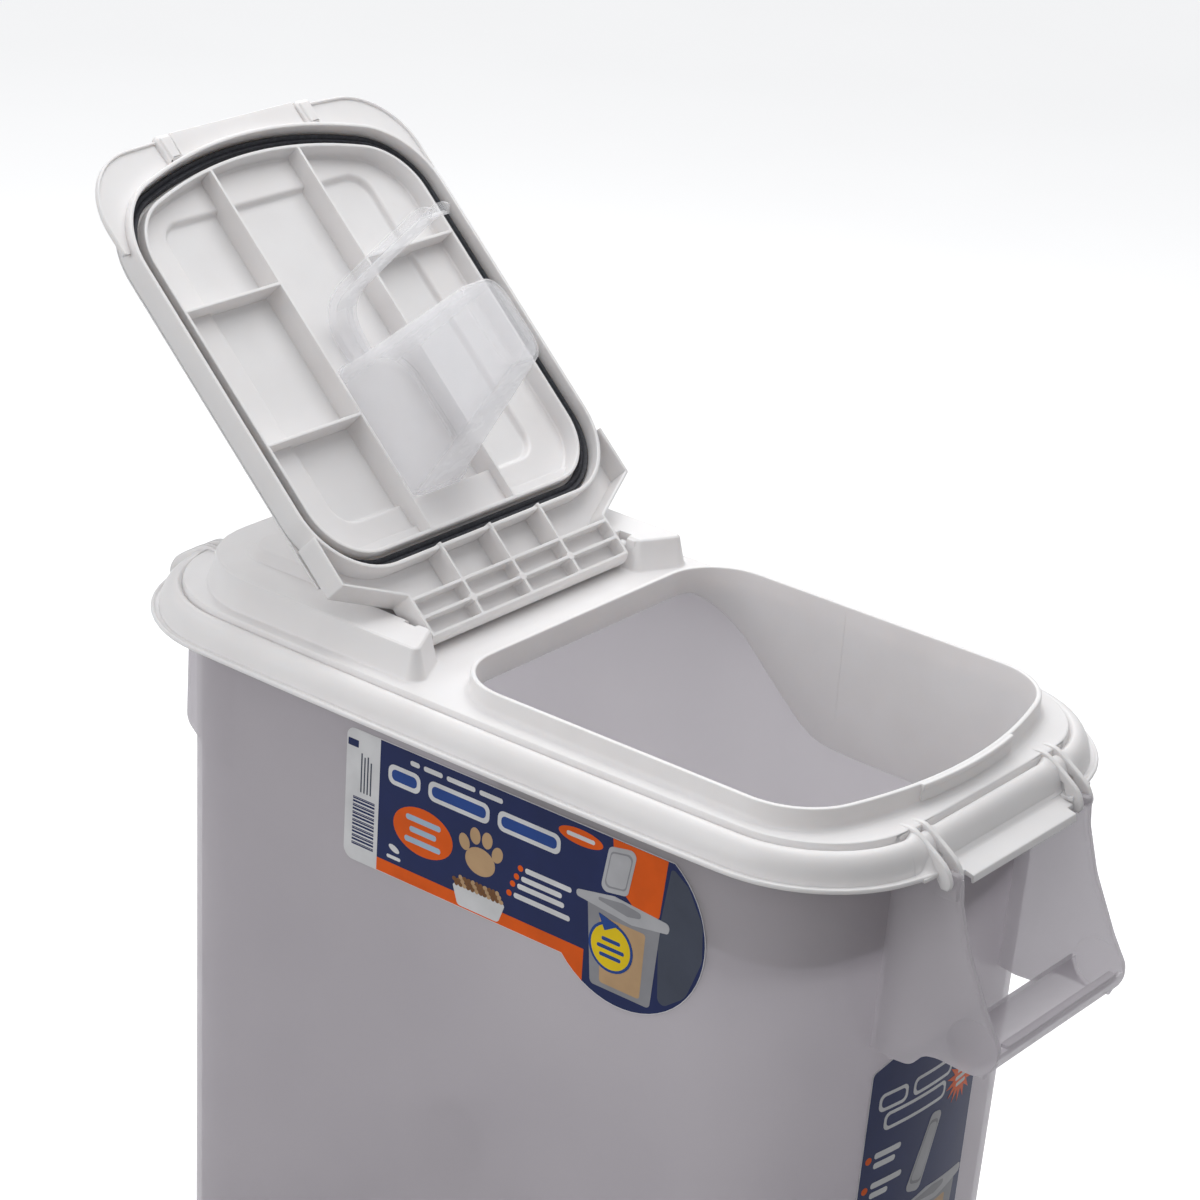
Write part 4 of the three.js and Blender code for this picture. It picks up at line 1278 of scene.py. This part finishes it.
place(tub(), "tub_shell", CLOUDY, "tub", "bin")
place(lid_frame(), "lid_shell", WHITE, "lid_frame", "lid", lift=BRIM_Z)
place(lid_gasket(), "lid_seal", FOAM, "lid_gasket", "lid")
place(flip_door(), "door_shell", WHITE, "flip_door", "door", DOOR_TURN, BRIM_Z)
place(door_gasket(), "door_seal", FOAM, "door_gasket", "door", DOOR_TURN, BRIM_Z, angle=50)
place(scoop(), "scoop_cup", CLEAR, "scoop", "scoop", DOOR_TURN, BRIM_Z)
for word, way in (("left", -1), ("right", 1)):
    place(wheel(way), f"wheel_{word}_tyre", BLACK, f"wheel_{word}", f"wheel_{word}")
    place(axle_cap(way), f"axle_push_cap_{word}", STEEL, f"axle_cap_{word}", "bin")
place(rod(3, -118, 118, AXLE_Y, AXLE_Z, 40, 0.6), "axle_rod", STEEL, "axle", "bin")
label("side_label", side_film(), side_print(), "x", on_side_wall)
label("front_label", front_film(), front_print(), "y", on_front_wall)


# ---------------------------------------------------------------- camera, lights, floor
def make_camera():
    """A long lens from the front left, a little above the open door."""
    azimuth, elevation, roll = radians(-53.2), radians(23.4), radians(4.2)
    data = bpy.data.cameras.new("camera")
    data.sensor_width = 36
    data.lens = 109.0
    data.clip_end = 50
    camera = bpy.data.objects.new("camera", data)
    bpy.context.scene.collection.objects.link(camera)
    back = Vector((sin(azimuth) * cos(elevation), -cos(azimuth) * cos(elevation), sin(elevation)))
    right = (-back).cross(Vector((0, 0, 1))).normalized()
    up = right.cross(-back)
    right, up = right * cos(roll) + up * sin(roll), up * cos(roll) - right * sin(roll)
    turn = Matrix((right, up, back)).transposed().to_4x4()
    camera.matrix_world = Matrix.Translation((-1.5534, -1.15, 0.8841 + BRIM_Z * MM)) @ turn
    bpy.context.scene.camera = camera


SKY_BELOW, SKY_ABOVE = 0.3, 0.68  # how bright the room is below and above
SKY_FRONT, SKY_REAR = 0.65, 1.1  # how bright the room is before and behind the bin


def softbox(name, at, aim, size, power):
    """A square area light, `size` metres wide, turned to its aim."""
    data = bpy.data.lights.new(name, "AREA")
    data.shape = "RECTANGLE"
    data.size = data.size_y = size
    data.energy = power
    light = bpy.data.objects.new(name, data)
    bpy.context.scene.collection.objects.link(light)
    light.location = at
    light.rotation_mode = "QUATERNION"
    light.rotation_quaternion = (Vector(aim) - Vector(at)).to_track_quat("-Z", "Y")


def soft_sky():
    """A dim pale room: brighter above and behind, and white where the camera sees it."""
    world = bpy.data.worlds.new("studio")
    bpy.context.scene.world = world
    world.use_nodes = True
    nodes, links = world.node_tree.nodes, world.node_tree.links
    light = nodes["Background"]
    light.inputs["Color"].default_value = (0.97, 0.98, 1, 1)
    direction = nodes.new("ShaderNodeSeparateXYZ")
    links.new(nodes.new("ShaderNodeTexCoord").outputs["Generated"], direction.inputs["Vector"])

    def fade(out, low, high, to_low, to_high):
        node = nodes.new("ShaderNodeMapRange")
        for key, value in (("From Min", low), ("From Max", high), ("To Min", to_low), ("To Max", to_high)):
            node.inputs[key].default_value = value
        links.new(direction.outputs[out], node.inputs["Value"])
        return node.outputs["Result"]

    strength = nodes.new("ShaderNodeMath")
    strength.operation = "MULTIPLY"
    links.new(fade("Z", -0.25, 0.6, SKY_BELOW, SKY_ABOVE), strength.inputs[0])
    links.new(fade("Y", -0.7, 0.5, SKY_FRONT, SKY_REAR), strength.inputs[1])
    links.new(strength.outputs["Value"], light.inputs["Strength"])
    backdrop = nodes.new("ShaderNodeBackground")
    seen = nodes.new("ShaderNodeLightPath").outputs["Is Camera Ray"]
    mix = nodes.new("ShaderNodeMixShader")
    links.new(seen, mix.inputs["Fac"])
    links.new(light.outputs["Background"], mix.inputs[1])
    links.new(backdrop.outputs["Background"], mix.inputs[2])
    links.new(mix.outputs["Shader"], nodes["World Output"].inputs["Surface"])


def make_studio():
    soft_sky()
    softbox("key", (0.25, 0.1, 1.8), (0, 0.05, 0.5), 1.1, 10)
    softbox("fill", (-1.5, -1.9, 1.9), (0, 0, 0.6), 1.4, 0.6)
    softbox("left", (-1.6, 0.6, 1.0), (0, 0.2, 0.55), 0.9, 8)
    softbox("rear", (1.3, 1.2, 1.8), (0, 0, 0.5), 1.2, 9)
    mesh = bpy.data.meshes.new("floor")
    mesh.from_pydata([(-30, -30, 0), (30, -30, 0), (30, 30, 0), (-30, 30, 0)], [], [(0, 1, 2, 3)])
    floor = bpy.data.objects.new("floor", mesh)
    floor.location.z = -0.0005
    floor.data.materials.append(floor_material())
    floor.visible_diffuse = False
    bpy.context.scene.collection.objects.link(floor)
    bpy.context.scene.view_settings.view_transform = "Standard"


make_camera()
make_studio()
